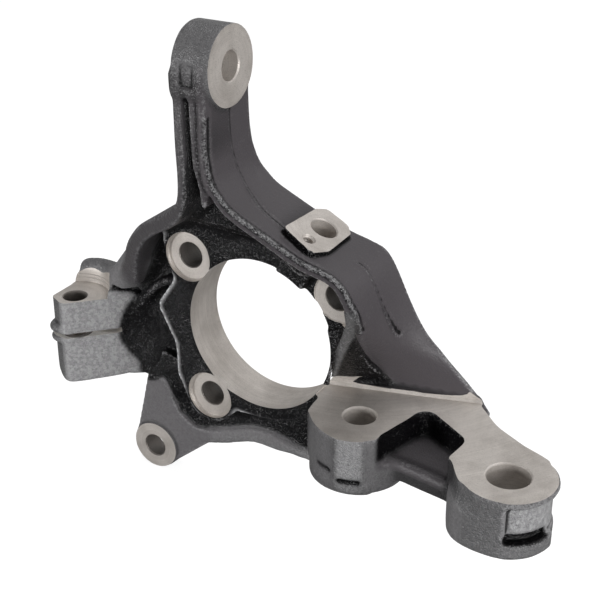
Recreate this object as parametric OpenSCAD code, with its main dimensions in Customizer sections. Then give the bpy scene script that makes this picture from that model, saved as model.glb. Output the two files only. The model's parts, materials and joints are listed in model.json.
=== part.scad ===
// Strut-type steering knuckle, one casting with machined seats and bores.
// Origin: centre of the hub bore on its inboard face. +Y runs along the wheel axis, outboard.
// +Z is the direction of the strut bolts and of the steering arm. +X points up on the car.

/* [Hub] */
// Radius of the bore that the drive shaft passes through
hub_bore_r = 43; // [38:0.5:50]
// Depth of the bore, from the inboard face to the bearing seat
hub_depth = 26.5; // [22:0.5:32]
// Wall of the ring around the bore
hub_wall = 8; // [6:0.5:11]
// Distance from the bore's edge to the bolt circle
hub_bolt_offset = 12.9; // [11:0.1:16]
// Radius of each hub bolt hole
hub_bolt_r = 7; // [5.5:0.1:7.5]
// Radius of the blind tapped hole for the fourth bolt
hub_tap_r = 5.25; // [4.2:0.05:6.3]
// Radius of the spot face under each bolt head
hub_seat_r = 14; // [12:0.5:16]
// Depth of the spot face
hub_seat_depth = 2; // [1:0.25:3]

/* [Steering arm] */
// Height of the tie rod hole above the hub axis
arm_reach = 143.7; // [120:0.1:165]
// Radius of the round end of the arm
arm_end_r = 20.3; // [17:0.1:24]
// Length of the tie rod hole
arm_end_length = 21.6; // [16:0.1:28]
// Radius of the tie rod hole
tie_rod_r = 7.5; // [5:0.1:9]
// Width of the arm along the wheel axis
arm_width = 41; // [34:0.5:48]

/* [Strut flange] */
// Distance from the bore's edge to the first strut bolt
strut_offset = 21.5; // [19:0.5:30]
// Distance between the strut bolts along X
strut_pitch = 85.5; // [75:0.5:100]
// Thickness of the flange between its machined faces
strut_thickness = 31; // [24:0.5:36]
// Distance of the upper machined face below the hub axis
strut_drop = 25.5; // [20:0.5:30]
// Radius of the hole next to the hub
strut_hole_r = 8.5; // [6:0.1:10]
// Radius of the hole at the flange's end
strut_end_hole_r = 10.8; // [6:0.1:12]
// Wall around each strut hole
strut_wall = 14; // [10:0.5:17]

/* [Ball joint clamp] */
// Distance from the hub axis to the clamp's outer face
clamp_reach = 136.4; // [120:0.1:155]
// Radius of the bore for the ball joint's stud
stud_r = 12; // [8:0.1:14]
// Radius of the clearance hole for the pinch bolt
pinch_r = 6.75; // [5:0.05:7]
// Radius of the tapped hole for the pinch bolt
pinch_tap_r = 5.1; // [4:0.05:5.5]
// How far the pinch bolt passes into the stud's bore
pinch_bite = 1.75; // [1:0.05:3]
// Width of the saw cut
slot_width = 3; // [2:0.5:4]
// Thickness of the upper jaw at the bolt's seat
jaw_thickness = 19.5; // [16:0.5:24]
// Length of the stud's bore
clamp_length = 33; // [26:0.5:38]

/* [Caliper ears] */
// Radius of each ear
ear_r = 14.3; // [12:0.1:17]
// Radius of the bolt hole in each ear
ear_hole_r = 6.6; // [5:0.1:8]
// Thickness of the ears between their machined faces
ear_thickness = 13; // [9:0.5:16]
// Depth of the ears' inboard face behind the hub's inboard face
ear_setback = 10; // [6:0.5:13]
// Distance from the hub axis to the lower ear
ear_reach = 127.2; // [115:0.1:140]

/* [Sensor pad] */
// Height of the pad above the rim that carries it
pad_height = 3; // [1.5:0.5:5]
// Radius of the wheel speed sensor's hole
sensor_r = 7; // [5:0.1:8.5]
// Radius of the tapped hole for the sensor's screw
sensor_screw_r = 2.5; // [1.6:0.1:3.3]
// Distance between the two holes
sensor_pitch = 15.5; // [13:0.1:17]

/* [Hidden] */
$fn = 64;
over = 1;
arc_steps = 5;
cast_colour = [0.13, 0.13, 0.14];

hub_ring_r = hub_bore_r + hub_wall;
bolt_circle_r = hub_bore_r + hub_bolt_offset;
bolt_angles = [35, 140.4, 234.9];
blind_bolt_angle = 320.4;
blind_bolt_depth = hub_depth - 3;
sensor_lug_height = 3;
sensor_screw_depth = 10;

arm_face_x = -11.7;
arm_end_y = -3;
arm_front_y = arm_end_y - arm_width / 2;
arm_back_y = arm_end_y + arm_width / 2;
arm_left_x = arm_face_x - arm_end_length;

strut_top_z = -strut_drop;
strut_bottom_z = strut_top_z - strut_thickness;
strut_1 = [hub_bore_r + strut_offset, -8.6];
strut_2 = [strut_1[0] + strut_pitch, -22];
strut_boss_1_r = strut_hole_r + strut_wall + 2;
strut_boss_2_r = strut_end_hole_r + strut_wall - 1.4;
strut_pocket_z = strut_top_z - strut_thickness / 2 + 1;
strut_step = 5;
strut_back_left = [hub_bore_r - 7.8, 11.3];
strut_back_right = [strut_1[0] + 48, 32.5];
strut_mill_height = 5;

stud_y = 18.9;
slot_z = -29;
pinch_y = stud_y - stud_r - pinch_r + pinch_bite;
pinch_x = -clamp_reach + 11.8;
pinch_seat_r = 19.5;
pinch_seat_z = slot_z + slot_width / 2 + jaw_thickness;
clamp_top_z = pinch_seat_z + 12.2;
jaw_crest_drop = 6;
clamp_bottom_z = slot_z - 31;
clamp_wall = 10;

ear_1 = ear_reach * [cos(231.2), sin(231.2)];
ear_2 = [hub_bore_r + 10, -64];
ear_back_y = ear_setback + ear_thickness;
web_front_y = 17;

// Rim along the upper right. Each row holds, for its inboard and then its outboard edge, the
// angle about the hub and the height above the bore's edge, then the place of both edges along
// Y and the wall's thickness.
RIM_STATIONS = [
    [88.9, 33.5, 91, 31.5, arm_front_y, 27, 9],
    [72.7, 27.7, 72, 24.8, arm_front_y, 27, 9],
    [57.5, 27.8, 56, 26, arm_front_y, 27, 9],
    [47.1, 33.4, 47.4, 31.3, arm_front_y + 0.5, 28, 9],
    [40.4, 35.7, 40.4, 35.5, arm_front_y + 1.5, 28, 9],
    [34, 34, 31.8, 34.4, arm_front_y + 3, 29, 8.5],
    [26.5, 30.5, 26, 34.4, arm_front_y + 7, 29.5, 8],
    [19, 24.7, 21, 34.1, -10, 30, 8],
    [10.2, 19.4, 14.8, 35.4, -1, 30.5, 8],
    [0.7, 17, 8.2, 38.3, 8.5, 31, 8],
    [-8.5, 18.1, 1.6, 45, 17, 32, 8],
    [-14.9, 23.2, -2.9, 52.2, 22.5, 33, 8],
    [-17.2, 28.2, -7.6, 63, 25, 34, 8],
    [-20.5, 34, -12.4, 71.5, 27, 35, 8]
];

// Flange along the left: outer edge of the casting, its inboard edge along Y, wall thickness
FLANGE_STATIONS = [
    [arm_left_x, arm_reach, arm_front_y, 6],
    [arm_left_x + 1, 110, arm_front_y, 6],
    [arm_left_x + 0.5, 86, arm_front_y, 6.5],
    [-41, 71, arm_front_y + 5, 7.5],
    [-59, 57.6, -12, 8.5],
    [-75, 45.3, -5, 9],
    [-88.5, 25, 2, 9],
    [-96, 4, 6, 9],
    [-102, -14, 8, 9]
];

function unit(v) = v / norm(v);

function polar(radius, angle) = radius * [cos(angle), sin(angle)];

// Points of one rounded corner. A corner is [x, y, radius].
function corner_arc(before, corner, after) =
    let (
        here = [corner[0], corner[1]],
        a = unit([before[0], before[1]] - here),
        b = unit([after[0], after[1]] - here),
        half = acos(a * b) / 2,
        centre = here + unit(a + b) * corner[2] / sin(half),
        reach = corner[2] / tan(half),
        first = here + a * reach - centre,
        last = here + b * reach - centre,
        start = atan2(first[1], first[0]),
        turn = (atan2(last[1], last[0]) - start + 540) % 360 - 180
    )
    corner[2] == 0 ? [here]
        : [for (i = [0:arc_steps]) centre + polar(corner[2], start + turn * i / arc_steps)];

function rounded(corners) =
    let (count = len(corners))
    [for (i = [0:count - 1])
        each corner_arc(corners[(i + count - 1) % count], corners[i], corners[(i + 1) % count])];

// One point of a smooth curve through b and c
function between(a, b, c, d, t) =
    (2 * b + (c - a) * t + (2 * a - 5 * b + 4 * c - d) * t * t
        + (3 * b - a - 3 * c + d) * t * t * t) / 2;

function smooth(list, steps) =
    let (last = len(list) - 1)
    concat(
        [for (i = [0:last - 1], s = [0:steps - 1])
            between(list[max(i - 1, 0)], list[i], list[i + 1], list[min(i + 2, last)], s / steps)],
        [list[last]]
    );

// Step square to a path in X and Z
function inward(ahead, distance) =
    let (run = unit(ahead))
    distance * [run[1], 0, -run[0]];

// Extrudes a shape drawn in X and Z along Y
module along_y(from, to) {
    translate([0, to, 0])
        rotate([90, 0, 0])
            linear_extrude(to - from)
                children();
}

// Extrudes a shape drawn in Y and Z along X
module along_x(from, to) {
    translate([from, 0, 0])
        rotate([90, 0, 90])
            linear_extrude(to - from)
                children();
}

// Solid through a row of sections. Each lists the wall's outer side and then its inner side back
module loft(sections) {
    size = len(sections[0]);
    last = len(sections) - 1;
    end = last * size;
    sides = [for (j = [0:last - 1], i = [0:size - 1])
        each [
            [j * size + i, (j + 1) * size + i, j * size + (i + 1) % size],
            [j * size + (i + 1) % size, (j + 1) * size + i, (j + 1) * size + (i + 1) % size]
        ]];
    caps = [for (i = [0:size / 2 - 2])
        let (k = size - 1 - i)
        each [
            [i, i + 1, k - 1],
            [i, k - 1, k],
            [end + i, end + k - 1, end + i + 1],
            [end + i, end + k, end + k - 1]
        ]];
    polyhedron([for (section = sections) each section], concat(sides, caps));
}

// Wall along a path. Each row is [inboard x, z, outboard x, z, inboard y, outboard y, thickness]
// and its outer face lies on the left or the right of the path.
module wall(rows, side, strips) {
    last = len(rows) - 1;
    sections = [for (i = [0:last])
        let (
            r = rows[i],
            ahead = rows[min(i + 1, last)] - rows[max(i - 1, 0)],
            front = [r[0], r[4], r[1]],
            back = [r[2], r[5], r[3]],
            front_in = front + inward([ahead[0], ahead[1]], side * r[6]),
            back_in = back + inward([ahead[2], ahead[3]], side * r[6])
        )
        concat(
            [for (k = [0:strips]) front + (back - front) * k / strips],
            [for (k = [strips:-1:0]) front_in + (back_in - front_in) * k / strips]
        )];
    size = 2 * strips + 2;
    loft(side < 0 ? sections : [for (section = sections) [for (i = [size - 1:-1:0]) section[i]]]);
}

module rim() {
    arm_rows = [
        [arm_face_x - 1.5, arm_reach, arm_face_x - 1.5, arm_reach, arm_front_y, arm_back_y, 8],
        [arm_face_x - 2.5, 112, arm_face_x - 3.6, 112, arm_front_y, arm_back_y + 1.5, 8],
        [arm_face_x - 0.5, 92, arm_face_x - 2.3, 92, arm_front_y, arm_back_y + 6, 9]
    ];
    hub_rows = [for (s = RIM_STATIONS)
        let (front = polar(hub_bore_r + s[1], s[0]), back = polar(hub_bore_r + s[3], s[2]))
        [front[0], front[1], back[0], back[1], s[4], s[5], s[6]]];
    wall(smooth(concat(arm_rows, hub_rows), 3), 1, 4);
}

module side_flange() {
    rows = [for (s = FLANGE_STATIONS)
        [s[0], s[1], s[0], s[1], s[2], min(hub_depth - 1, arm_back_y + 1), s[3]]];
    wall(smooth(rows, 3), -1, 1);
}

module arm() {
    along_y(-9, arm_back_y)
        polygon(rounded([
            [arm_left_x + 3, arm_reach, 0],
            [arm_left_x + 3, 84, 6],
            [-44, 62, 0],
            [-4, 66, 0],
            [arm_face_x - 3, 92, 12],
            [arm_face_x - 4, arm_reach, 0]
        ]));
    translate([arm_left_x, arm_end_y, arm_reach])
        rotate([0, 90, 0])
            cylinder(arm_end_length, r = arm_end_r);
}

module hub() {
    boss_r = hub_seat_r + 1.5;
    along_y(0, hub_depth)
        circle(hub_ring_r);
    for (angle = concat(bolt_angles, [blind_bolt_angle]))
        let (place = polar(bolt_circle_r, angle))
            along_y(0, hub_depth)
                translate(place)
                    circle(boss_r);
    along_y(0, hub_depth)
        polygon(rounded([
            [-57, 45, 4],
            [-50, 18, 6],
            [-64, 2, 7],
            [-54, -18, 6],
            [-52, -36, 4],
            [0, 0, 0],
            [48, -15, 0],
            [60, 22, 0],
            [62, 42, 0],
            [40, 54, 0],
            [20, 62, 0],
            [4, 70, 0],
            [-10, 80, 0],
            [-30, 76, 6],
            [-46, 60, 6]
        ]));
    sensor_lug();
}

// Sloping wall under the rim, from the hub ring to the strut flange
module gusset() {
    low = strut_top_z - 1;
    right = strut_back_right[0] - 38;
    polyhedron(
        [
            [hub_bore_r + 6, -2, 10],
            [hub_bore_r + 19, 0, 13],
            [right, 27, low],
            [strut_back_left[0] - 1, 13, low],
            [hub_bore_r + 6, 30, 10],
            [hub_bore_r + 19, 30, 13],
            [right + 10, 30, low],
            [strut_back_left[0] - 1, 30, low]
        ],
        [[0, 1, 2], [0, 2, 3], [4, 6, 5], [4, 7, 6], [0, 4, 1], [1, 4, 5],
            [1, 5, 2], [2, 5, 6], [2, 6, 3], [3, 6, 7], [3, 7, 0], [0, 7, 4]]
    );
}

// Raised land between the rim and the bore, where the sensor reaches the bearing
module sensor_lug() {
    along_y(-sensor_lug_height, over)
        polygon(rounded([
            polar_corner(hub_bore_r - 6, 51, 0),
            polar_corner(hub_bore_r + 22, 54, 3),
            polar_corner(hub_bore_r + 22, 70, 3),
            polar_corner(hub_bore_r - 6, 76, 0)
        ]));
}

function polar_corner(radius, angle, corner_r) =
    let (place = polar(radius, angle))
    [place[0], place[1], corner_r];

// Thin wall between the hub, the side flange and the clamp
module web() {
    along_y(web_front_y, hub_depth - 1)
        polygon(rounded([
            [-36, 74, 0],
            [-58, 56, 4],
            [-75, 43, 4],
            [-90, 20, 6],
            [-100, 0, 4],
            [-104, -20, 0],
            [-100, clamp_bottom_z, 6],
            [-60, -64, 0],
            [-30, -56, 0],
            [0, 0, 0]
        ]));
}

module ear_plate() {
    ear_cast_y = ear_setback + 1;
    along_y(ear_cast_y, ear_back_y - 1)
        polygon(rounded([
            [-83, -52, 4],
            [ear_1[0] - ear_r * cos(14), ear_1[1] + ear_r * sin(14), 0],
            [ear_1[0] + ear_r * cos(50), ear_1[1] - ear_r * sin(50), 0],
            [-42, -86.3, 14],
            [-12, -76.4, 0],
            [8, -76.4, 20],
            [ear_2[0] - 8, ear_2[1] - ear_r + 2, 0],
            [ear_2[0] + ear_r - 1, ear_2[1], 0],
            [hub_bore_r + 16, -30, 0],
            [0, 0, 0],
            [-60, -40, 0]
        ]));
    for (ear = [ear_1, ear_2])
        along_y(ear_setback, ear_back_y)
            translate(ear)
                circle(ear_r);
}

// Outline of the strut flange, seen along the strut bolts
module strut_outline() {
    hub_edge = sqrt(pow(hub_bore_r + 4, 2) - pow(strut_drop, 2));
    tangent = strut_2 + polar(strut_boss_2_r, 60.6);
    polygon(rounded([
        [hub_edge, strut_1[1] - 8, 0],
        [strut_back_left[0], strut_back_left[1] + 9, 0],
        [strut_back_right[0] - 4, strut_back_right[1] + 3, 3],
        [strut_back_right[0], strut_back_right[1], 3],
        [strut_2[0] - 21, strut_2[1] + 39.3, 40],
        [tangent[0], tangent[1], 0],
        [strut_2[0], strut_2[1], 0],
        [strut_2[0] - 18, strut_2[1] - 14, 0],
        [strut_2[0] - 30, strut_2[1] - 1, 8],
        [strut_1[0] + 20, strut_1[1] - 8, 8],
        [strut_1[0], strut_1[1] - strut_boss_1_r, 0]
    ]));
}

module strut_boss(place, radius) {
    translate([place[0], place[1], strut_bottom_z])
        cylinder(strut_thickness, r = radius);
}

module strut_flange() {
    strut_boss(strut_1, strut_boss_1_r);
    strut_boss(strut_2, strut_boss_2_r);
    difference() {
        translate([0, 0, strut_bottom_z + strut_step])
            linear_extrude(strut_thickness - strut_step)
                strut_outline();
        translate([0, 0, strut_pocket_z])
            linear_extrude(strut_thickness)
                polygon(rounded([
                    [strut_1[0] + 22, strut_1[1] - 40, 0],
                    [strut_1[0] + 17, strut_1[1] - 11, 6],
                    [strut_1[0] + 26.5, strut_1[1] + 24, 5],
                    [strut_2[0] - 29, strut_2[1] + 19, 6],
                    [strut_2[0] - 32, strut_2[1] - 6, 0],
                    [strut_2[0] - 32, strut_2[1] - 30, 0]
                ]));
    }
}

// Body around the stud's bore, with its crest above the upper jaw
module clamp_body() {
    along_x(-clamp_reach, -clamp_reach + clamp_length)
        polygon(rounded([
            [stud_y - clamp_wall, clamp_bottom_z, 8],
            [stud_y + stud_r + clamp_wall - 2, clamp_bottom_z + 2, 10],
            [stud_y + stud_r + clamp_wall, clamp_top_z - 13, 9],
            [stud_y + 9, clamp_top_z, 5],
            [stud_y - clamp_wall + 3, clamp_top_z - 9, 5],
            [stud_y - clamp_wall, clamp_top_z - 16, 5]
        ]));
}

// Jaws around the pinch bolt, with the flank that runs back to the web
module clamp_jaws() {
    nose = pinch_y - 12.6;
    translate([0, 0, clamp_bottom_z])
        linear_extrude(clamp_top_z - jaw_crest_drop - clamp_bottom_z)
            polygon(rounded([
                [-clamp_reach, stud_y, 0],
                [-clamp_reach, nose + 6, 2],
                [pinch_x, nose, 4],
                [pinch_x + 34, nose + 34, 0],
                [pinch_x + 34, stud_y + stud_r, 0]
            ]));
}

// Places children on the sensor pad, X along the rim's fall and Z away from the hub
module on_pad() {
    pad_angle = 64.8;
    rotate([0, 90 - pad_angle, 0])
        translate([0, 0, hub_bore_r + 27.2])
            children();
}

module sensor_pad() {
    on_pad()
        translate([0, 0, -12])
            linear_extrude(12 + pad_height)
                polygon(rounded([
                    [-9.9, -11.5, 3],
                    [10, -15.8, 3],
                    [14.6, -6, 3],
                    [14.2, 18, 3],
                    [9.5, 23, 3],
                    [-4.4, 24.3, 3],
                    [-8.5, 18, 3]
                ]));
}

module casting() {
    rim();
    side_flange();
    arm();
    hub();
    gusset();
    web();
    ear_plate();
    strut_flange();
    clamp_body();
    clamp_jaws();
    sensor_pad();
}

module hub_machining() {
    translate([0, -60, 0])
        rotate([-90, 0, 0])
            cylinder(hub_depth + 120, r = hub_bore_r);
    for (angle = bolt_angles)
        let (place = polar(bolt_circle_r, angle))
            translate([place[0], 0, place[1]])
                rotate([-90, 0, 0]) {
                    cylinder(hub_depth + 30, r = hub_bolt_r);
                    translate([0, 0, -30])
                        cylinder(30 + hub_seat_depth, r = hub_seat_r);
                }
    let (place = polar(bolt_circle_r, blind_bolt_angle))
        translate([place[0], hub_depth - blind_bolt_depth, place[1]])
            rotate([-90, 0, 0])
                cylinder(blind_bolt_depth + 30, r = hub_tap_r);
    translate([0, hub_depth, 0])
        rotate([-90, 0, 0])
            cylinder(30, r = bolt_circle_r + hub_seat_r + 2);
}

module arm_machining() {
    translate([arm_left_x - over, arm_end_y, arm_reach])
        rotate([0, 90, 0])
            cylinder(arm_end_length + 40, r = tie_rod_r);
}

module strut_machining() {
    reach = strut_2[0] + 2 * strut_boss_2_r;
    translate([0, 0, strut_top_z])
        linear_extrude(strut_mill_height)
            polygon([
                [strut_back_left[0], -reach],
                strut_back_left,
                strut_back_right,
                [reach, strut_back_right[1]],
                [reach, -reach]
            ]);
    translate([strut_1[0], strut_1[1], strut_bottom_z - over])
        cylinder(strut_thickness + 40, r = strut_hole_r);
    translate([strut_2[0], strut_2[1], strut_bottom_z - over])
        cylinder(strut_thickness + 2 * over, r = strut_end_hole_r);
}

module clamp_machining() {
    translate([-clamp_reach - over, stud_y, slot_z])
        rotate([0, 90, 0])
            cylinder(clamp_length + over, r = stud_r);
    translate([-clamp_reach - over, stud_y - 60, slot_z - slot_width / 2])
        cube([clamp_length + 2 * over, 60, slot_width]);
    translate([pinch_x, pinch_y, clamp_bottom_z - over])
        cylinder(clamp_top_z - clamp_bottom_z + 20, r = pinch_tap_r);
    translate([pinch_x, pinch_y, slot_z])
        cylinder(clamp_top_z - slot_z + 20, r = pinch_r);
    translate([pinch_x, pinch_y, pinch_seat_z])
        cylinder(40, r = pinch_seat_r);
}

module ear_machining() {
    for (ear = [ear_1, ear_2])
        translate([ear[0], ear_setback - over, ear[1]])
            rotate([-90, 0, 0])
                cylinder(ear_thickness + 2 * over, r = ear_hole_r);
}

module sensor_machining() {
    on_pad() {
        translate([3, 8.3, -40])
            cylinder(60, r = sensor_r);
        translate([3, 8.3 - sensor_pitch, pad_height - sensor_screw_depth])
            cylinder(40, r = sensor_screw_r);
    }
}

module knuckle() {
    color(cast_colour)
        difference() {
            casting();
            hub_machining();
            arm_machining();
            strut_machining();
            clamp_machining();
            ear_machining();
            sensor_machining();
        }
}

knuckle();
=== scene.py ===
"""Looks of a strut-type steering knuckle: one iron casting with a black coat and machined seats.

The casting is shaped as one field of distances to its skin, so that every joint between two walls
gets a cast fillet. The skin is then machined with turned and milled cutters, which leave bare iron.
Lengths are in millimetres until the finished mesh is scaled to metres.
"""

import json
import math
from collections import namedtuple

import bpy
import numpy as np
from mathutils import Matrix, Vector

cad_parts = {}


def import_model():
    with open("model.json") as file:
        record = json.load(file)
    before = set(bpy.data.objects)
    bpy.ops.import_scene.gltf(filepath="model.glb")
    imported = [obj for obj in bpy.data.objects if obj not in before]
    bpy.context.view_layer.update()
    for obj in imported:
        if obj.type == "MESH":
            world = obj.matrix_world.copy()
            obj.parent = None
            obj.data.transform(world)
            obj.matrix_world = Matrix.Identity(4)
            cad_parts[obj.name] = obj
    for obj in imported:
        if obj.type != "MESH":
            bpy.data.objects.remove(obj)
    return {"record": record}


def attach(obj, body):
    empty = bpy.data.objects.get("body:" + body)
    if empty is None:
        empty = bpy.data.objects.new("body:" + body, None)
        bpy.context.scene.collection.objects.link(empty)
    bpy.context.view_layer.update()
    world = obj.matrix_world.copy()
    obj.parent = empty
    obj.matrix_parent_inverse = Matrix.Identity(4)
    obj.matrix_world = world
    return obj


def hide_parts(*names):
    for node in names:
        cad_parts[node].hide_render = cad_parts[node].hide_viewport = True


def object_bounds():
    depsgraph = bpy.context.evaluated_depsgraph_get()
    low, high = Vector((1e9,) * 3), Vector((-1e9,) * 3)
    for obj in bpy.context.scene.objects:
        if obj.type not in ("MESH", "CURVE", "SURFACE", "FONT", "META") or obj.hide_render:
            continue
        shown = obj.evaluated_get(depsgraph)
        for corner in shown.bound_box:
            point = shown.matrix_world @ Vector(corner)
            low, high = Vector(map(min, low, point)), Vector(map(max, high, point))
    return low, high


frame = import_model()
cad_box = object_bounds()

MM = 0.001
# Spacing of the field's points, and the field's margin around the part's box
CELL = 1.15
MARGIN = 5
# Distance taken for anything that is further off
FAR = 30.0
# Triangles kept in the skin before it is machined
TRIANGLES = 165000
# Edges that bend by more than this, in degrees, are shaded sharp
SHARP_ANGLE = 38
SEED = 7
X_AXIS, Y_AXIS, Z_AXIS = np.eye(3, dtype=int)

Shape = namedtuple("Shape", "distance low high")
Mount = namedtuple("Mount", "place axis radius length")


def mount(name):
    """Place, axis, radius and length of one of the part's mounts, in millimetres."""
    found = next(m for m in frame["record"]["mounts"] if m["name"] == name)
    dims = found["dims"]
    place = np.array(found["pos_m"]) / MM
    return Mount(place, np.array(found["axis"]), dims.get("r_mm"), dims.get("length_mm"))


HUB = mount("hub_bore")
BOLTS = [mount("hub_bolt_" + letter) for letter in "abd"]
BLIND_BOLT = mount("hub_bolt_c")
TIE_ROD = mount("tie_rod_hole")
STRUT_1 = mount("strut_hole_1")
STRUT_2 = mount("strut_hole_2")
STUD = mount("ball_joint_clamp")
PINCH = mount("pinch_hole")
PINCH_THREAD = mount("pinch_thread")
EARS = [mount("ear_hole_lower"), mount("ear_hole_upper")]
SENSOR = mount("sensor_hole")
SENSOR_SCREW = mount("sensor_screw_hole")

STRUT_TOP = mount("strut_face").place[2]
STRUT_BOTTOM = mount("strut_lower_face").place[2]
BEARING_Y = mount("bearing_seat").place[1]
SEAT_R = 14
SEAT_Y = BOLTS[0].place[1]
EAR_R = 14.3
EAR_FRONT = EARS[0].place[1] - EARS[0].length
ARM_FRONT = -23.5
ARM_BACK = 17.5
ARM_END_R = 20.3
ARM_LEFT = TIE_ROD.place[0] - TIE_ROD.length
WEB_FRONT = 17
CLAMP_LEFT = STUD.place[0]
CLAMP_BOTTOM = -60
# Iron left on the faces that are machined
STOCK = 1
# Width of a note's soft border, as a share of the blend between two shapes
NOTE_WIDTH = 0.9


# Distances

def smooth_min(a, b, blend):
    """Lesser of two distances, with a round fillet where they cross."""
    mix = np.maximum(blend - np.abs(a - b), 0) / blend
    return np.minimum(a, b) - mix * mix * (blend / 4)


def rounded_pair(a, b, fillet):
    """Distance to what lies inside both a and b, with a rounded edge between them."""
    a, b = a + fillet, b + fillet
    return np.minimum(np.maximum(a, b), 0) + np.hypot(np.maximum(a, 0), np.maximum(b, 0)) - fillet


def outline_distance(corners, u, v):
    """Distance to a closed outline, negative inside it."""
    best, sign = FAR ** 2, 1
    for (au, av), (bu, bv) in zip(corners, corners[1:] + corners[:1]):
        eu, ev = bu - au, bv - av
        wu, wv = u - au, v - av
        t = np.clip((wu * eu + wv * ev) / (eu * eu + ev * ev), 0, 1)
        best = np.minimum(best, (wu - eu * t) ** 2 + (wv - ev * t) ** 2)
        above, below, left = v >= av, v < bv, eu * wv > ev * wu
        crosses = (above & below & left) | ~(above | below | left)
        sign = sign * np.where(crosses, -1, 1)
    return sign * np.sqrt(best)


def meeting(one, two, fillet):
    """What lies inside both shapes, with a rounded edge where their faces meet."""
    def distance(x, y, z):
        return rounded_pair(one.distance(x, y, z), two.distance(x, y, z), fillet)
    return Shape(distance, np.maximum(one.low, two.low), np.minimum(one.high, two.high))


def smooth_rows(rows, steps):
    """Rows along a smooth curve through the given ones."""
    rows = np.array(rows, float)
    last = len(rows) - 1
    made = []
    for i in range(last):
        a, b, c, d = (rows[min(max(i + k, 0), last)] for k in (-1, 0, 1, 2))
        for t in np.arange(steps) / steps:
            made.append((2 * b + (c - a) * t + (2 * a - 5 * b + 4 * c - d) * t ** 2
                         + (3 * b - a - 3 * c + d) * t ** 3) / 2)
    return made + [rows[last]]


def rounded(corners, steps=6):
    """Outline with rounded corners. A corner is (u, v, radius)."""
    made = []
    for i, (u, v, radius) in enumerate(corners):
        here = np.array((u, v), float)
        if not radius:
            made.append(tuple(here))
            continue
        before, after = (np.array(corners[k][:2], float) for k in (i - 1, (i + 1) % len(corners)))
        a = (before - here) / np.linalg.norm(before - here)
        b = (after - here) / np.linalg.norm(after - here)
        half = math.acos(a @ b) / 2
        centre = here + (a + b) / np.linalg.norm(a + b) * radius / math.sin(half)
        first, last = (here + e * radius / math.tan(half) - centre for e in (a, b))
        start = math.atan2(first[1], first[0])
        turn = (math.atan2(last[1], last[0]) - start + math.pi) % (2 * math.pi) - math.pi
        for k in range(steps + 1):
            angle = start + turn * k / steps
            made.append(tuple(centre + radius * np.array((math.cos(angle), math.sin(angle)))))
    return made


def others(axis, values):
    """The values without the one of an axis."""
    return [v for i, v in enumerate(values) if i != axis]


def box_of(axis, low, high, start, stop):
    """Box of a flat outline that is extruded along an axis."""
    low, high = list(low), list(high)
    low.insert(axis, start)
    high.insert(axis, stop)
    return np.array(low, float), np.array(high, float)


def bar(axis, centre, radius, start, stop, fillet=1.5):
    """Round bar along X, Y or Z. Its centre is given in the two other directions."""
    middle, half = (start + stop) / 2, (stop - start) / 2

    def distance(*point):
        u, v = others(axis, point)
        return rounded_pair(np.hypot(u - centre[0], v - centre[1]) - radius,
                            np.abs(point[axis] - middle) - half, fillet)
    low = [c - radius for c in centre]
    high = [c + radius for c in centre]
    return Shape(distance, *box_of(axis, low, high, start, stop))


def plate(axis, corners, start, stop, fillet=1.5):
    """Outline extruded along X, Y or Z."""
    corners = rounded(corners)
    middle, half = (start + stop) / 2, (stop - start) / 2

    def distance(*point):
        u, v = others(axis, point)
        return rounded_pair(outline_distance(corners, u, v),
                            np.abs(point[axis] - middle) - half, fillet)
    low, high = np.min(corners, 0), np.max(corners, 0)
    return Shape(distance, *box_of(axis, low, high, start, stop))


def bead(rows, steps=1):
    """Round bead through rows of (x, y, z, radius)."""
    rows = smooth_rows(rows, steps)

    def distance(x, y, z):
        best = FAR
        for a, b in zip(rows, rows[1:]):
            ex, ey, ez = b[:3] - a[:3]
            wx, wy, wz = x - a[0], y - a[1], z - a[2]
            t = np.clip((wx * ex + wy * ey + wz * ez) / (ex * ex + ey * ey + ez * ez), 0, 1)
            gap = np.sqrt((wx - ex * t) ** 2 + (wy - ey * t) ** 2 + (wz - ez * t) ** 2)
            best = np.minimum(best, gap - (a[3] + (b[3] - a[3]) * t))
        return best
    rows = np.array(rows)
    reach = rows[:, 3:]
    return Shape(distance, (rows[:, :3] - reach).min(0), (rows[:, :3] + reach).max(0))


def trench(rows, front, steps=2):
    """Slot cut from the inboard side, through rows of (x, z, half width, depth along Y)."""
    rows = smooth_rows(rows, steps)

    def distance(x, y, z):
        best = FAR
        for a, b in zip(rows, rows[1:]):
            ex, ez = b[0] - a[0], b[1] - a[1]
            wx, wz = x - a[0], z - a[1]
            t = np.clip((wx * ex + wz * ez) / (ex * ex + ez * ez), 0, 1)
            aside = np.hypot(wx - ex * t, wz - ez * t) - (a[2] + (b[2] - a[2]) * t)
            below = y - (a[3] + (b[3] - a[3]) * t)
            best = np.minimum(best, rounded_pair(aside, below, 0.8 * min(a[2], b[2])))
        return best
    rows = np.array(rows)
    low = (rows[:, 0] - rows[:, 2]).min(), front, (rows[:, 1] - rows[:, 2]).min()
    high = (rows[:, 0] + rows[:, 2]).max(), rows[:, 3].max(), (rows[:, 1] + rows[:, 2]).max()
    return Shape(distance, np.array(low), np.array(high))


def dish(centre, radii):
    """Egg-shaped hollow or lump."""
    centre, radii = np.array(centre, float), np.array(radii, float)

    def distance(x, y, z):
        scaled = [(p - c) / r for p, c, r in zip((x, y, z), centre, radii)]
        length = np.sqrt(sum(s * s for s in scaled))
        slope = np.sqrt(sum((s / r) ** 2 for s, r in zip(scaled, radii)))
        return length * (length - 1) / np.maximum(slope, 1e-3)
    return Shape(distance, centre - radii, centre + radii)


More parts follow.
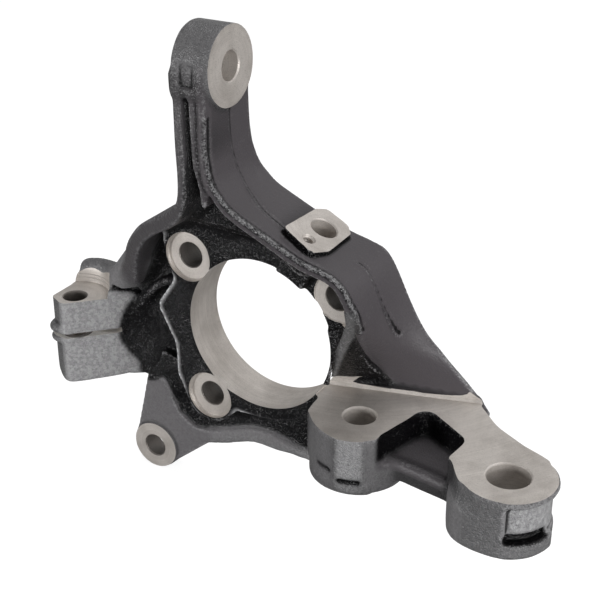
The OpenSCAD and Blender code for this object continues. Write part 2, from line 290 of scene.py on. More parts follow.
def triangle_distance(corners, x, y, z):
    """Distance to a flat triangle."""
    a, b, c = corners
    normal = np.cross(b - a, c - a)
    normal /= np.linalg.norm(normal)
    best, within = FAR ** 2, True
    for p, q in ((a, b), (b, c), (c, a)):
        e = q - p
        inner = np.cross(normal, e)
        wx, wy, wz = x - p[0], y - p[1], z - p[2]
        t = np.clip((wx * e[0] + wy * e[1] + wz * e[2]) / (e @ e), 0, 1)
        best = np.minimum(best, (wx - e[0] * t) ** 2 + (wy - e[1] * t) ** 2 + (wz - e[2] * t) ** 2)
        within = within & (wx * inner[0] + wy * inner[1] + wz * inner[2] >= 0)
    flat = np.abs((x - a[0]) * normal[0] + (y - a[1]) * normal[1] + (z - a[2]) * normal[2])
    return np.where(within, flat, np.sqrt(best))


def inward(rows, side):
    """Direction in X and Z from a path's outer face into its wall, at each row."""
    ahead = np.gradient(rows[:, :2], axis=0)
    ahead /= np.linalg.norm(ahead, axis=1, keepdims=True)
    return side * np.stack([ahead[:, 1], -ahead[:, 0]], 1)


def beside_edge(rows, side, inset, depth, radius):
    """Rows of a bead that follows a wall's edge. A row is (x, z, y, thickness)."""
    rows = np.array(smooth_rows(rows, 3))
    place = rows[:, :2] + inset * inward(rows, side)
    return [(x, y + depth, z, radius) for (x, z), y in zip(place, rows[:, 2])]


def wall(inboard, outboard, side, edge_r=2.0, strips=3, steps=3, reach=9):
    """Wall whose outer face runs between two paths. A row is (x, z, y, thickness)."""
    edges = []
    for rows, into in ((inboard, 1), (outboard, -1)):
        rows = np.array(smooth_rows(rows, steps))
        aside = inward(rows, side)
        aside = np.stack([aside[:, 0], 0 * aside[:, 0], aside[:, 1]], 1)
        outer = np.stack([rows[:, 0], rows[:, 2] + into * edge_r, rows[:, 1]], 1)
        edges.append((outer, aside, rows[:, 3:]))
    layers = 4
    triangles = []
    for layer in range(layers):
        front, back = (outer + aside * (edge_r + (thick - 2 * edge_r) * layer / (layers - 1))
                       for outer, aside, thick in edges)
        for strip in range(strips):
            one, two = (front + (back - front) * (strip + k) / strips for k in (0, 1))
            for i in range(len(front) - 1):
                triangles += [(one[i], one[i + 1], two[i]), (two[i], one[i + 1], two[i + 1])]

    def distance(x, y, z):
        best = np.full(np.broadcast(x, y, z).shape, FAR, np.float32)
        for corners in triangles:
            low, high = np.min(corners, 0) - reach, np.max(corners, 0) + reach
            spans = tuple(slice(*np.searchsorted(axis.ravel(), (a, b)))
                          for axis, a, b in zip((x, y, z), low, high))
            near = x[spans[0]], y[:, spans[1]], z[:, :, spans[2]]
            best[spans] = np.minimum(best[spans], triangle_distance(corners, *near) - edge_r)
        return best
    points = np.array(triangles).reshape(-1, 3)
    return Shape(distance, points.min(0) - edge_r, points.max(0) + edge_r)


def prism(axis_a, axis_b, axis_c, place, corners, start, stop, fillet=1.5):
    """Outline in the directions a and b from a place, extruded along c."""
    corners = rounded(corners)
    middle, half = (start + stop) / 2, (stop - start) / 2
    place = np.array(place, float)
    basis = np.array((axis_a, axis_b, axis_c), float)

    def distance(x, y, z):
        u, v, w = (sum(d * (p - o) for d, p, o in zip(axis, (x, y, z), place)) for axis in basis)
        return rounded_pair(outline_distance(corners, u, v), np.abs(w - middle) - half, fillet)
    points = np.array([(*c, w) for c in corners for w in (start, stop)]) @ basis + place
    return Shape(distance, points.min(0), points.max(0))


def band(centre, radius, angles, levels, sunk, proud, fillet=1.0):
    """Patch of a round upright boss, between two angles in degrees and two levels.

    It reaches from a depth under the boss's surface to a height above it.
    """
    inner, outer = radius - sunk, radius + proud
    first, last = (math.radians(a) for a in angles)
    reach = (last - first) / 2
    middle, half = (levels[0] + levels[1]) / 2, (levels[1] - levels[0]) / 2

    def distance(x, y, z):
        turn = np.arctan2(y - centre[1], x - centre[0]) - (first + last) / 2
        turn = (turn + math.pi) % (2 * math.pi) - math.pi
        outline = rounded_pair((np.abs(turn) - reach) * radius, np.abs(z - middle) - half, 2 * fillet)
        depth = np.abs(np.hypot(x - centre[0], y - centre[1]) - (inner + outer) / 2)
        return rounded_pair(outline, depth - (outer - inner) / 2, fillet)
    low = centre[0] - outer, centre[1] - outer, levels[0]
    high = centre[0] + outer, centre[1] + outer, levels[1]
    return Shape(distance, np.array(low, float), np.array(high, float))


# The casting's field of distances

class Mould:
    """Distance to the casting's skin on a block of points, negative inside the iron."""

    def __init__(self, low, high, cell):
        self.low, self.cell = np.array(low, float), cell
        self.axes = [np.arange(a, b, cell, dtype=np.float32) for a, b in zip(low, high)]
        self.field = np.full([len(a) for a in self.axes], FAR, np.float32)
        # The second note marks where the coat is drawn paler: partly thin paint, partly a painted sheen for
        # the light those faces catch
        self.notes = {"rough": np.full(self.field.shape, 0.5, np.float32),
                      "pale": np.zeros(self.field.shape, np.float32)}

    def window(self, shape, blend):
        """Part of the block that a shape can change, and its points along X, Y and Z."""
        reach = blend + 2 * self.cell
        spans = []
        for axis, points in enumerate(self.axes):
            first = np.searchsorted(points, shape.low[axis] - reach)
            last = np.searchsorted(points, shape.high[axis] + reach)
            spans.append(slice(first, last))
        x, y, z = (points[span] for points, span in zip(self.axes, spans))
        return tuple(spans), x[:, None, None], y[None, :, None], z[None, None, :]

    def note(self, spans, ahead, width, values):
        """Writes notes where ahead is above zero, with a soft border of the given width."""
        share = np.clip(0.5 + ahead / width, 0, 1)
        for name, value in values.items():
            self.notes[name][spans] += share * (value - self.notes[name][spans])

    def mark(self, shape, width=1.5, **notes):
        """Writes notes inside a shape and leaves the skin as it is."""
        spans, *point = self.window(shape, width)
        self.note(spans, -shape.distance(*point), width, notes)

    def add(self, shape, blend=4, **notes):
        """Adds iron, with a fillet of the blend's size."""
        spans, *point = self.window(shape, blend)
        gap = shape.distance(*point)
        here = self.field[spans]
        self.note(spans, here - gap, NOTE_WIDTH * blend, notes)
        self.field[spans] = smooth_min(here, gap, blend)

    def cut(self, shape, blend=3, **notes):
        """Takes iron away, with a rounded edge of the blend's size."""
        spans, *point = self.window(shape, blend)
        gap = shape.distance(*point)
        here = self.field[spans]
        self.note(spans, -here - gap, NOTE_WIDTH * blend, notes)
        self.field[spans] = -smooth_min(-here, gap, blend)

    def ripple(self, size, smooth_height, rough_height, seed):
        """Waves of the cast skin, about as long as the given size."""
        lattice = [int(len(a) * self.cell / size) + 5 for a in self.axes]
        waves = np.random.default_rng(seed).standard_normal(lattice).astype(np.float32)
        for axis, points in enumerate(self.axes):
            place = (points - points[0]) / size + 1
            step = np.floor(place).astype(int)
            t = place - step
            weights = np.zeros((len(points), lattice[axis]), np.float32)
            rows = np.arange(len(points))
            spline = ((1 - t) ** 3, 3 * t ** 3 - 6 * t ** 2 + 4, 3 * (t ** 2 - t ** 3 + t) + 1, t ** 3)
            for k, share in enumerate(spline):
                weights[rows, step + k - 1] = share / 6
            waves = np.moveaxis(np.tensordot(weights, waves, (1, axis)), 0, axis)
        height = smooth_height + (rough_height - smooth_height) * self.notes["rough"]
        self.field += waves * height

    def close_pinches(self, rounds=12):
        """Fills points where the skin would meet itself along one edge."""
        just_inside = -0.05 * self.cell
        for _ in range(rounds):
            inside = self.field < 0
            pinched = np.zeros_like(inside)
            for a, b in ((0, 1), (0, 2), (1, 2)):
                at = {}
                for i in (0, 1):
                    for j in (0, 1):
                        part = [slice(None)] * 3
                        part[a] = slice(i, inside.shape[a] - 1 + i)
                        part[b] = slice(j, inside.shape[b] - 1 + j)
                        at[i, j] = tuple(part)
                s = {key: inside[part] for key, part in at.items()}
                crossed = (s[0, 0] == s[1, 1]) & (s[0, 1] == s[1, 0]) & (s[0, 0] != s[0, 1])
                for part in at.values():
                    pinched[part] |= crossed
            pinched &= ~inside
            if not pinched.any():
                return
            self.field[pinched] = just_inside

    def sample(self, grid, points):
        """Values of a grid at any points, by straight interpolation."""
        place = (points - self.low) / self.cell
        limit = np.array(grid.shape) - 2
        first = np.clip(np.floor(place).astype(int), 0, limit)
        t = np.clip(place - first, 0, 1)
        total = 0
        for corner in np.ndindex(2, 2, 2):
            share = np.prod(np.where(corner, t, 1 - t), axis=1)
            i, j, k = (first + corner).T
            total = total + share * grid[i, j, k]
        return total

    def slope(self, points):
        """Direction in which the distance grows, which is the skin's normal."""
        step = self.cell * 0.75
        parts = [self.sample(self.field, points + step * e) - self.sample(self.field, points - step * e)
                 for e in np.eye(3)]
        normal = np.stack(parts, 1)
        return normal / np.maximum(np.linalg.norm(normal, axis=1, keepdims=True), 1e-6)

    def skin(self):
        """Corners and four-sided faces of the skin: one corner in each cell that it crosses."""
        field = self.field
        inside = field < 0
        count = np.zeros([n - 1 for n in field.shape], np.int8)
        for corner in np.ndindex(2, 2, 2):
            count += inside[tuple(slice(c, c + n - 1) for c, n in zip(corner, field.shape))]
        crossed = (count > 0) & (count < 8)
        number = np.full(crossed.shape, -1, np.int32)
        number[crossed] = np.arange(crossed.sum())
        base = np.argwhere(crossed)
        total = np.zeros(base.shape)
        hits = np.zeros(len(base))
        for axis in range(3):
            step = np.eye(3, dtype=int)[axis]
            for i, j in np.ndindex(2, 2):
                start = np.insert(np.array((i, j)), axis, 0)
                a, b = (field[tuple((base + start + s).T)] for s in (0 * step, step))
                cuts = (a < 0) != (b < 0)
                t = np.where(cuts, a / np.where(cuts, a - b, 1), 0)
                total += cuts[:, None] * (start + t[:, None] * step)
                hits += cuts
        points = self.low + (base + total / hits[:, None]) * self.cell
        faces = []
        for axis in range(3):
            a, b = others(axis, range(3))
            first = [slice(1, n - 1) for n in field.shape]
            second = list(first)
            first[axis], second[axis] = slice(0, -1), slice(1, None)
            start, stop = inside[tuple(first)], inside[tuple(second)]
            place = np.argwhere(start != stop) + 1
            place[:, axis] -= 1
            outward = start[start != stop]
            ring = []
            for da, db in ((0, 0), (1, 0), (1, 1), (0, 1)):
                cell = place.copy()
                cell[:, a] -= da
                cell[:, b] -= db
                ring.append(number[tuple(cell.T)])
            ring = np.stack(ring, 1)
            forward = outward if axis != 1 else ~outward
            faces.append(np.where(forward[:, None], ring, ring[:, ::-1]))
        return points, np.concatenate(faces)


def relaxed(mould, points, faces, rounds=3, furthest=0.3):
    """Evens the skin's corners out and puts them back on the skin."""
    ends = np.concatenate([faces[:, [i, (i + 1) % 4]] for i in range(4)])
    for _ in range(rounds):
        total = np.zeros_like(points)
        for axis in range(3):
            total[:, axis] = np.bincount(ends[:, 0], points[ends[:, 1], axis], len(points))
        count = np.bincount(ends[:, 0], minlength=len(points))[:, None]
        points = points + 0.5 * (total / count - points)
        gap = mould.sample(mould.field, points)[:, None]
        points = points - np.clip(gap, -furthest, furthest) * mould.slope(points)
    return points


# Features of the casting

HUB_OUTLINE = [
    (-59.5, 45, 5), (-53, 20, 7), (-65, 2.5, 7), (-54, -19, 7), (-53.5, -38, 8), (-43, -60, 8),
    (-28, -62, 8), (-16, -51, 6), (10, -49, 6), (36, -38, 0), (50, -14, 0), (60, 20, 0),
    (62, 42, 0), (40, 54, 0), (20, 62, 0), (2, 66, 0), (-30, 68, 8), (-46, 60, 8),
]


def hub(mould):
    """Ring around the bore, its four bolt bosses and the wavy plate that joins them."""
    mould.add(bar(1, (0, 0), HUB.radius + 8, 0, BEARING_Y + STOCK, 2), 1, rough=0.6)
    mould.add(plate(1, HUB_OUTLINE, 0, BEARING_Y + STOCK, 1.2), 2.5, rough=0.75)
    for bolt in (*BOLTS, BLIND_BOLT):
        place = bolt.place[0], bolt.place[2]
        mould.add(bar(1, place, SEAT_R + 2, 0, BEARING_Y + STOCK, 2), 3)
    lip_inset, lip_points = 0.987, 62
    lip = [(lip_inset * x, 0.7, lip_inset * z, 1) for x, z in rounded(HUB_OUTLINE)[:lip_points]]
    # Painted highlight: the lip's bead gets the palest note, which draws bright dots along it
    mould.add(bead(lip), 0.6, rough=1, pale=1.6)
    relief = BOLTS[1].place * 0.88
    mould.cut(bar(1, (relief[0], relief[2]), SEAT_R + 0.5, -5, SEAT_Y - 0.6, 1), 1.5)


def sensor_lug(mould):
    """Raised land where the sensor's hole meets the bore."""
    turns = [(radius, math.radians(angle), fillet)
             for radius, angle, fillet in ((36, 51, 0), (66, 54, 3), (66, 70, 3), (36, 76, 0))]
    corners = [(radius * math.cos(turn), radius * math.sin(turn), fillet) for radius, turn, fillet in turns]
    mould.add(plate(1, corners, -3, 10, 1), 1.5, rough=0.9)


# Paths of the rim's two edges, as rows of (x, z, y, thickness)
RIM_INBOARD = [
    (-13.8, 146, -23.5, 3.6), (-14.4, 122, -23.5, 3.4), (-14.8, 107, -23.5, 3.4), (-12.5, 92, -23.5, 4.2),
    (-6, 82.5, -23.5, 5), (1.5, 76.5, -23.5, 5), (21, 67.5, -23.5, 5), (38, 59.7, -23.5, 5),
    (52, 56, -23, 5), (60, 51, -22.5, 5.2), (64, 43, -21, 5.4), (66, 33, -17, 5.6), (64.5, 22, -10, 6),
    (61.4, 11, -1, 6.5), (60, 0.7, 8.5, 7), (61, -9, 17, 7.5), (64, -17, 22.5, 8), (68, -22, 25, 8),
    (74, -28, 26, 8),
]
RIM_OUTBOARD = [
    (-13.8, 146, 17.5, 8), (-14.4, 118, 18, 8), (-14, 100, 20, 8.5), (-12, 88, 23.5, 9),
    (-9.5, 81.5, 27, 9), (-4.2, 77, 27, 9), (3.6, 73, 27, 9), (21.5, 65, 27, 9), (38.8, 58.6, 27, 9),
    (52, 55.3, 27, 9), (60.1, 51.2, 28, 9), (66.2, 41.1, 29, 8.5), (73.1, 25.5, 30, 8),
    (81.7, 10, 31, 8), (90.1, 0.6, 32, 8), (97, -7, 33, 8), (104.8, -14.9, 34, 8), (112, -23, 35, 8),
    (118, -31, 36, 8),
]
# Two raised seams on the rim's outer face, with a groove beside each
SEAMS = [
    [(-15, -3, 134), (-15.1, -3, 120), (-15.2, -1.9, 107.9), (-14.4, -0.3, 97.5), (-11.5, 1.6, 86.2),
     (-4.8, 0.2, 78.2), (5.3, -5, 72.9), (18.6, -7.5, 66.7)],
    [(55, 1.9, 52.7), (59.5, 3.2, 49.3), (63.6, 3.7, 42.2), (66.7, 6.8, 31), (70.2, 13.9, 14.6),
     (71.5, 16, 11.6)],
]


def rim(mould):
    """Curved wall from the arm's end over the hub to the strut flange, with a bead and two seams."""
    mould.add(wall(RIM_INBOARD, RIM_OUTBOARD, 1, 1.5, strips=7, steps=4), 3, rough=0, pale=0)
    edge = RIM_INBOARD[1:-6]
    mould.add(bead(beside_edge(edge, 1, 1.0, 1.2, 1.5)), 0.8, rough=0.5)
    mould.cut(bead(beside_edge(edge, 1, -0.2, 3.6, 0.9)), 1, rough=0.1)
    for seam in SEAMS:
        mould.add(bead([(x - 0.3, y - 0.2, z, 1.3) for x, y, z in seam], 3), 0.8, rough=0.3)
        mould.cut(bead([(x + 1.3, y + 1.7, z + 0.5, 1) for x, y, z in seam], 3), 0.5)


def arm(mould):
    """Channel-shaped arm with its middle rib and its round end."""
    mould.add(plate(1, [
        (-31, 150, 0), (-31.5, 84, 10), (-46, 60, 0), (6, 58, 0), (-8, 78, 14), (-18, 96, 12),
        (-18, 150, 0),
    ], -7, ARM_BACK, 3), 10, rough=1)
    mould.add(wall(
        [(-33.3, 141, -23.3, 5.2), (-33, 110, -23.5, 5.2), (-32.3, 88, -23.5, 5.6),
         (-34.5, 76, -22, 6.4), (-41, 69, -18.5, 7.5), (-50, 62.5, -15, 8.3), (-59, 57.6, -12, 8.6),
         (-68, 51.5, -8.5, 8.8), (-75, 45.3, -5, 8.8), (-82.5, 36, -1.5, 8.8), (-88, 26, 2, 9),
         (-92, 17, 5.5, 9.5), (-95, 9, 9, 10)],
        [(-33.3, 141, 17.5, 6), (-33, 110, 17.5, 6), (-32.3, 88, 18, 6), (-34.5, 76, 20, 6.4),
         (-41, 69, 22, 7.5), (-50, 62.5, 24, 8.3), (-59, 57.6, 25, 8.6), (-68, 51.5, 25, 8.8),
         (-75, 45.3, 25.5, 8.8), (-82.5, 36, 25.5, 8.8), (-88, 26, 25.5, 8.8),
         (-92, 17, 25.5, 8.6), (-95, 9, 25.5, 8.4)],
        -1, steps=4), 3, rough=0.25, pale=0.1)
    mould.add(plate(1, [
        (-24.2, 142, 0), (-23.5, 118, 8), (-23, 98, 10), (-19.8, 86, 6), (-18.6, 76, 3), (-16.2, 74, 2),
        (-13.5, 88, 6), (-15.6, 104, 8), (-15.6, 142, 0),
    ], ARM_FRONT + 0.5, 0, 1), 2, rough=0.2)
    mould.add(plate(1, [
        (-31, 150, 0), (-31, 96, 8), (-26, 84, 6), (-16, 84, 0), (-16, 150, 0),
    ], -18.4, 0, 2), 4, rough=1)
    mould.cut(trench([(-25.2, 99, 0.8, -19), (-24.7, 93, 1.8, -15), (-23.9, 86.5, 3.2, -11),
                      (-23.6, 80, 4.2, -8.5), (-24.6, 73, 4.6, -7.5), (-28, 66, 4.6, -7),
                      (-32.5, 60, 4, -6)], -30, 3), 2.2, rough=1)
    mould.cut(bead([(-18.4, -23.2, 133, 0.7), (-18.5, -23, 112, 0.9), (-18, -23, 98, 1.1),
                    (-15.8, -23, 88, 1.1), (-11.5, -23, 81, 0.8)], 3), 0.8, rough=0.8)
    mould.add(plate(1, [
        (-34.5, 144, 3), (-34.5, 131, 3), (-13.9, 131, 2), (-13.9, 144, 3),
    ], ARM_FRONT + 0.3, ARM_BACK, 1.8), 3, rough=0.4, pale=0.12)
    end = TIE_ROD.place
    mould.add(bar(0, end[1:], ARM_END_R, ARM_LEFT, end[0] + STOCK, 1.2), 2.5, rough=0.4, pale=0.42)
    mould.cut(plate(1, [
        (-28.6, 148.2, 1.5), (-20.4, 148.2, 1.5), (-20.4, 136, 1.5), (-28.6, 136, 1.5),
    ], -40, ARM_FRONT + 1.2, 1), 1, rough=0.2)


def web(mould):
    """Thin wall between the hub, the side flange and the clamp."""
    mould.add(plate(1, [
        (-36, 74, 0), (-58, 54, 4), (-73, 41, 4), (-87, 20, 6), (-98, 0, 4), (-104, -20, 0),
        (-104, CLAMP_BOTTOM + 4, 6), (-60, -64, 0), (-30, -56, 0), (0, 0, 0),
    ], WEB_FRONT + 2, BEARING_Y - 1, 2), 3, rough=0.9)
    mould.add(bead([(-90, 18.6, -12, 2), (-86, 17.2, -7, 2), (-79, 16.4, 1.4, 2), (-71, 16, 7.6, 2),
                    (-60, 15, 12, 2)], 3), 6, rough=0.4)
    mould.add(plate(1, [
        (-85, -46, 3), (-82.6, -38.5, 3), (-71.4, -36, 3), (-60, -40, 0), (-60, -60, 0), (-84, -59, 3),
    ], 13.5, 24, 1.5), 2.5, rough=0.6)


def ears(mould):
    """Plate below the hub with the ear at each of its ends."""
    low, high = ((e.place[0], e.place[2]) for e in EARS)
    mould.add(plate(1, [
        (-83.2, -52, 3), (low[0] - 14, low[1] + 3.4, 0), (low[0] + 9.2, low[1] - 11, 0),
        (-42, -86.3, 14), (-12, -76.4, 8), (8, -76.4, 20), (high[0] - 8, high[1] - 12.5, 0),
        (high[0] + 13, high[1], 0), (59, -30, 0), (0, 0, 0), (-60, -40, 0),
    ], 14, 22, 1.5), 4, rough=0.7)
    mould.add(plate(1, [
        (-83.2, -52, 3), (low[0] - 14, low[1] + 3.4, 0), (low[0] + 9.2, low[1] - 11, 0),
        (-42, -86.3, 14), (-28, -81.4, 0), (-35, -77, 6), (-51.5, -79, 8), (-62, -72, 5),
        (-71, -54, 4), (-74, -52, 2),
    ], EAR_FRONT + 1, 22, 1.2), 1.5, rough=0, pale=0.33)
    mould.add(bead([(-40, 13.5, -82.5, 3), (-27, 13.5, -79, 3), (-12, 13.2, -74, 3), (4, 13.2, -74.5, 3),
                    (18, 14, -74.5, 3), (34, 15, -77, 4)], 3), 2.5, rough=0.3, pale=0.6)
    mould.add(bead([(-40, 14, -79.5, 3), (-27, 14, -75.6, 3), (-12, 13.8, -70.4, 3), (4, 13.8, -70.8, 3),
                    (18, 14.2, -75, 2.5)], 3), 2.5, rough=0.1, pale=0.4)
    for ear, place in zip(EARS, (low, high)):
        mould.add(bar(1, place, EAR_R, EAR_FRONT - STOCK, ear.place[1] + STOCK, 0.8), 2, rough=0.3)


def strut_flange(mould):
    """Flange with two bosses and a V-shaped notch between them."""
    one, two = STRUT_1.place, STRUT_2.place
    one_r, two_r = STRUT_1.radius + 16, STRUT_2.radius + 12.6
    low, high = STRUT_BOTTOM, STRUT_TOP
    mould.add(plate(2, [
        (39.5, -17, 0), (35.2, 21, 0), (108.5, 36.5, 3), (112.5, 33.5, 4), (129, 16.6, 40),
        (two[0] + 11.5, two[1] + 20.4, 0), (two[0], two[1], 0), (132, -36, 0), (120, -23, 8),
        (84, -16.6, 8), (one[0], one[1] - one_r, 0),
    ], low + 5, high + STOCK, 2.5), 5, rough=0.4, pale=0.12)
    mould.add(plate(2, [(34, 9, 0), (114, 31, 0), (112, 36, 4), (34, 22, 0)],
                    high - 8, high + 1.6, 0.5), 1, rough=0.2)
    lobe = two[0] - 12.2, two[1] - 6.9
    for centre, radius, top, fillet, rough, pale in (
            (one[:2], one_r, high + STOCK, 2.2, 0.3, 0.42),
            (two[:2], two_r, high + STOCK, 2.2, 0.9, 0.46),
            (lobe, two_r - 9.5, high - 10, 3, 0.2, 0.48)):
        mould.add(bar(2, centre, radius, low - STOCK, top, fillet), 6, rough=rough, pale=pale)
    outer_boss(mould, two, two_r, low, high)
    inner_boss(mould, one, one_r, low, high)
    notch = [
        (one[0] + 22, one[1] - 46, 0), (one[0] + 17.5, one[1] - 11, 8), (one[0] + 26.5, one[1] + 24, 6),
        (two[0] - 29.5, two[1] + 18.5, 7), (two[0] - 32, two[1] - 6, 0), (two[0] - 32, two[1] - 36, 0),
    ]
    mould.cut(plate(2, notch, high - 14.6, 20, 2.5), 2.5, rough=0.5, pale=0)
    mould.mark(plate(2, notch, high - 18, high - 13.4, 0), rough=0.1, pale=0.05)
    mould.add(bead([(80.5, -15.4, -42.6, 3), (98, -16.8, -43, 3), (119, -21.5, -43, 3)], 2), 4)


def outer_boss(mould, place, radius, low, high):
    """Frame around the outer boss's window, which gets a painted sheen, and the deep slot at the window's
    foot.
    """
    mould.add(band(place, radius, (-76, 50), (low + 1, high - 0.5), 6, 0.7), 2, rough=0.8, pale=0.55)
    mould.cut(band(place, radius, (-2, 70), (low - 4, high - 4), 0.8, 6), 2)
    mould.cut(band(place, radius, (-71, 52), (high - 21.5, high - 3), 2, 6), 1.2, rough=0.6, pale=1)
    mould.cut(band(place, radius, (-72, -12), (high - 23.2, high - 18.6), 5, 6), 1, pale=0)


def inner_boss(mould, place, radius, low, high):
    """Facet of the inner boss with a painted sheen, its foot and the two slots above it."""
    mould.add(band(place, radius, (-88, -58), (low + 2, high + 1), 5, 0.6), 2)
    mould.mark(band(place, radius, (-90, -60), (low, high + 2), 5, 6), 3, pale=0.9, rough=1)
    mould.add(band(place, radius, (-150, -50), (low - 1, low + 5), 5, 0.8), 2.5, pale=0.3)
    mould.cut(band(place, radius, (-124, -98), (low + 9.5, low + 12), 0.5, 4), 1.5, pale=0)
    mould.cut(band(place, radius, (-90, -60), (low + 5.5, low + 8), 0.2, 4), 1.5, pale=0)


def gusset(mould):
    """Sloping wall under the rim, with the rough bead along its edge beside the bore."""
    a, b, c = np.array(((58, -3, 12), (36, 10.8, -20.5), (68, 24.5, -20.5)), float)
    face = np.cross(b - a, c - a)
    face /= np.linalg.norm(face)
    along = (c - b) / np.linalg.norm(c - b)
    up = np.cross(face, along)
    outline = []
    for x, z in ((61, 21), (59.5, 11), (58.5, 0.7), (59.5, -8), (63, -17), (67, -22), (72, -27), (34, -26),
                 (37.5, -18), (43.5, -3), (50, 9), (56, 20)):
        y = a[1] - (face[0] * (x - a[0]) + face[2] * (z - a[2])) / face[1]
        from_a = np.array((x, y, z)) - a
        outline.append((from_a @ along, from_a @ up, 0))
    mould.cut(prism(along, up, face, a, outline, 0, 30, 1), 1.5)
    mould.add(prism(along, up, face, a, outline, -9, 0, 1), 3, rough=1)
    edge = [(62.5, -16.5, 35, 3), (60.8, -13.5, 29, 3), (57, -8, 19, 2.7), (51.4, -2.5, 8.5, 2.3),
            (46, 2.6, -2.5, 1.9), (41.6, 7.4, -12, 1.7), (39, 10.4, -18, 1.6), (37, 15, -24, 1.6)]
    mould.add(bead(edge, 3), 1.5, rough=1, pale=0.45)


def clamp(mould):
    """Clamp around the ball joint's stud, with its crest and the jaws at the pinch bolt."""
    stud_y = STUD.place[1]
    nose = PINCH.place[1] - 12.6
    mould.add(plate(0, [
        (9, CLAMP_BOTTOM, 8), (39, CLAMP_BOTTOM + 2, 10), (40.5, -14, 9), (31, 3, 6), (25.5, 2.2, 4),
        (21.5, -1.8, 3), (14, -6.5, 4), (9, -16, 5),
    ], CLAMP_LEFT, CLAMP_LEFT + 31, 3), 4, rough=0.4, pale=0.6)
    mould.add(bead([(-133, 25, -0.6, 3.4), (-127, 27, 0.4, 4), (-120, 27.5, 0.7, 4), (-113, 27, -0.4, 4),
                    (-106, 24, -3, 4)], 2), 5, pale=0.4)
    mould.add(bead([(-90, 16.5, 19, 7), (-96, 17, 9.5, 8), (-103, 18.5, 1, 8),
                    (-110, 21, -3.5, 6.5)], 3), 6, rough=0.2, pale=0.55)
    jaws = plate(2, [
        (CLAMP_LEFT, stud_y + 4, 0), (CLAMP_LEFT, nose + 6, 3), (PINCH.place[0], nose, 5),
        (PINCH.place[0] + 36, nose + 36, 0), (PINCH.place[0] + 34, stud_y + 12, 0),
    ], CLAMP_BOTTOM, -2.5, 2)
    side = plate(1, [
        (CLAMP_LEFT, 0, 0), (CLAMP_LEFT, CLAMP_BOTTOM, 10), (-118, CLAMP_BOTTOM - 1, 0),
        (-100, CLAMP_BOTTOM + 1.5, 0), (-84, CLAMP_BOTTOM - 3, 0), (-84, 0, 0),
    ], -40, 40, 0)
    # Painted sheen on the clamp's flank and jaws, partly thin paint
    mould.add(meeting(jaws, side, 1.6), 2.2, rough=0.45, pale=1)
    for level, radius in ((-26.2, 2.8), (-32.6, 2.2)):
        mould.add(bead([(-136, 6, level, radius), (-136.3, -3, level, radius), (-134, -6.8, level, radius),
                        (-129.5, -8.5, level, 0.9 * radius), (-123, -8.6, level, 0.5 * radius)], 2),
                  2, pale=1)
    mould.cut(dish((-87.5, 8, -31), (15.3, 14, 22)), 1, rough=1, pale=0)
    mould.cut(bead([(-117, -2.8, -1, 1.3), (-108, 5.6, -1.6, 1.6), (-99, 14.8, -2.2, 2),
                    (-93, 20, -4, 2.4)], 2), 1, rough=0.6, pale=0)
    mould.mark(dish((-83.5, 10, -29), (18.5, 60, 27)), 1.2, rough=0.9, pale=0)
    # The clamp's nose end gets less of the painted sheen, so it is darker
    nose_with_less_sheen = [(-145, 0, 0), (-145, -70, 0), (-127.5, -70, 0), (-127.5, 0, 0)]
    mould.mark(plate(1, nose_with_less_sheen, -30, 3), 4, pale=0.4)


def sensor_pad(mould):
    """Pad on the rim that carries the wheel speed sensor."""
    up = SENSOR.axis
    along = np.array((up[2], 0, -up[0]))
    top = SENSOR.place @ up
    mould.add(prism(along, (0, 1, 0), up, (0, 0, 0), [
        (-9.9, -11.5, 3), (10, -15.8, 3), (14.6, -6, 3), (14.2, 18, 3), (9.5, 23, 3), (-4.4, 24.3, 3),
        (-8.5, 18, 3),
    ], top - 16, top + STOCK, 0.5), 1.6, rough=1)


def casting():
    """The whole casting, as it comes from the sand."""
    mould = Mould(np.array(cad_box[0]) / MM - MARGIN, np.array(cad_box[1]) / MM + MARGIN, CELL)
    hub(mould)
    web(mould)
    ears(mould)
    arm(mould)
    gusset(mould)
    strut_flange(mould)
    clamp(mould)
    rim(mould)
    sensor_lug(mould)
    sensor_pad(mould)
    mould.ripple(9, 0.05, 0.12, SEED)
    mould.ripple(4, 0.01, 0.1, SEED + 1)
    mould.close_pinches()
    return mould


# Machining

def placed(name, data):
    """New object in the scene."""
    made = bpy.data.objects.new(name, data)
    bpy.context.scene.collection.objects.link(made)
    return made


def made_mesh(name, points, faces):
    """Mesh of points and faces."""
    mesh = bpy.data.meshes.new(name)
    mesh.from_pydata([tuple(p) for p in points], [], [tuple(int(i) for i in f) for f in faces])
    return mesh


def tagged(mesh, centre, axis):
    """Notes on each face where the tool's turning marks have their centre and axis."""
    for name, value in (("tool_centre", np.array(centre, float) * MM), ("tool_axis", axis)):
        layer = mesh.attributes.new(name, "FLOAT_VECTOR", "FACE")
        layer.data.foreach_set("vector", np.tile(np.array(value, float), len(mesh.polygons)))


def cutter(name, points, faces, material, centre, axis):
    """Solid that leaves its own material and its tool's marks where it cuts."""
    mesh = made_mesh(name, points, faces)
    mesh.materials.append(material)
    tagged(mesh, centre, axis)
    return placed(name, mesh)


def turned(name, material, place, axis, profile, sides=96):
    """Cutter turned from rows of (radius, distance along the axis), in rising order."""
    axis = np.array(axis, float)
    aside = np.cross(axis, (1, 0, 0) if abs(axis[0]) < 0.6 else (0, 0, 1))
    aside /= np.linalg.norm(aside)
    across = np.cross(axis, aside)
    angles = np.arange(sides) * 2 * math.pi / sides
    ring = np.cos(angles)[:, None] * aside + np.sin(angles)[:, None] * across
    points = np.concatenate([np.array(place) + radius * ring + along * axis for radius, along in profile])
    faces = [tuple(range(sides))[::-1]]
    for row in range(len(profile) - 1):
        for i in range(sides):
            j = (i + 1) % sides
            faces.append((row * sides + i, row * sides + j, (row + 1) * sides + j, (row + 1) * sides + i))
    faces.append(tuple(range((len(profile) - 1) * sides, len(profile) * sides)))
    return cutter(name, points, faces, material, place, axis)


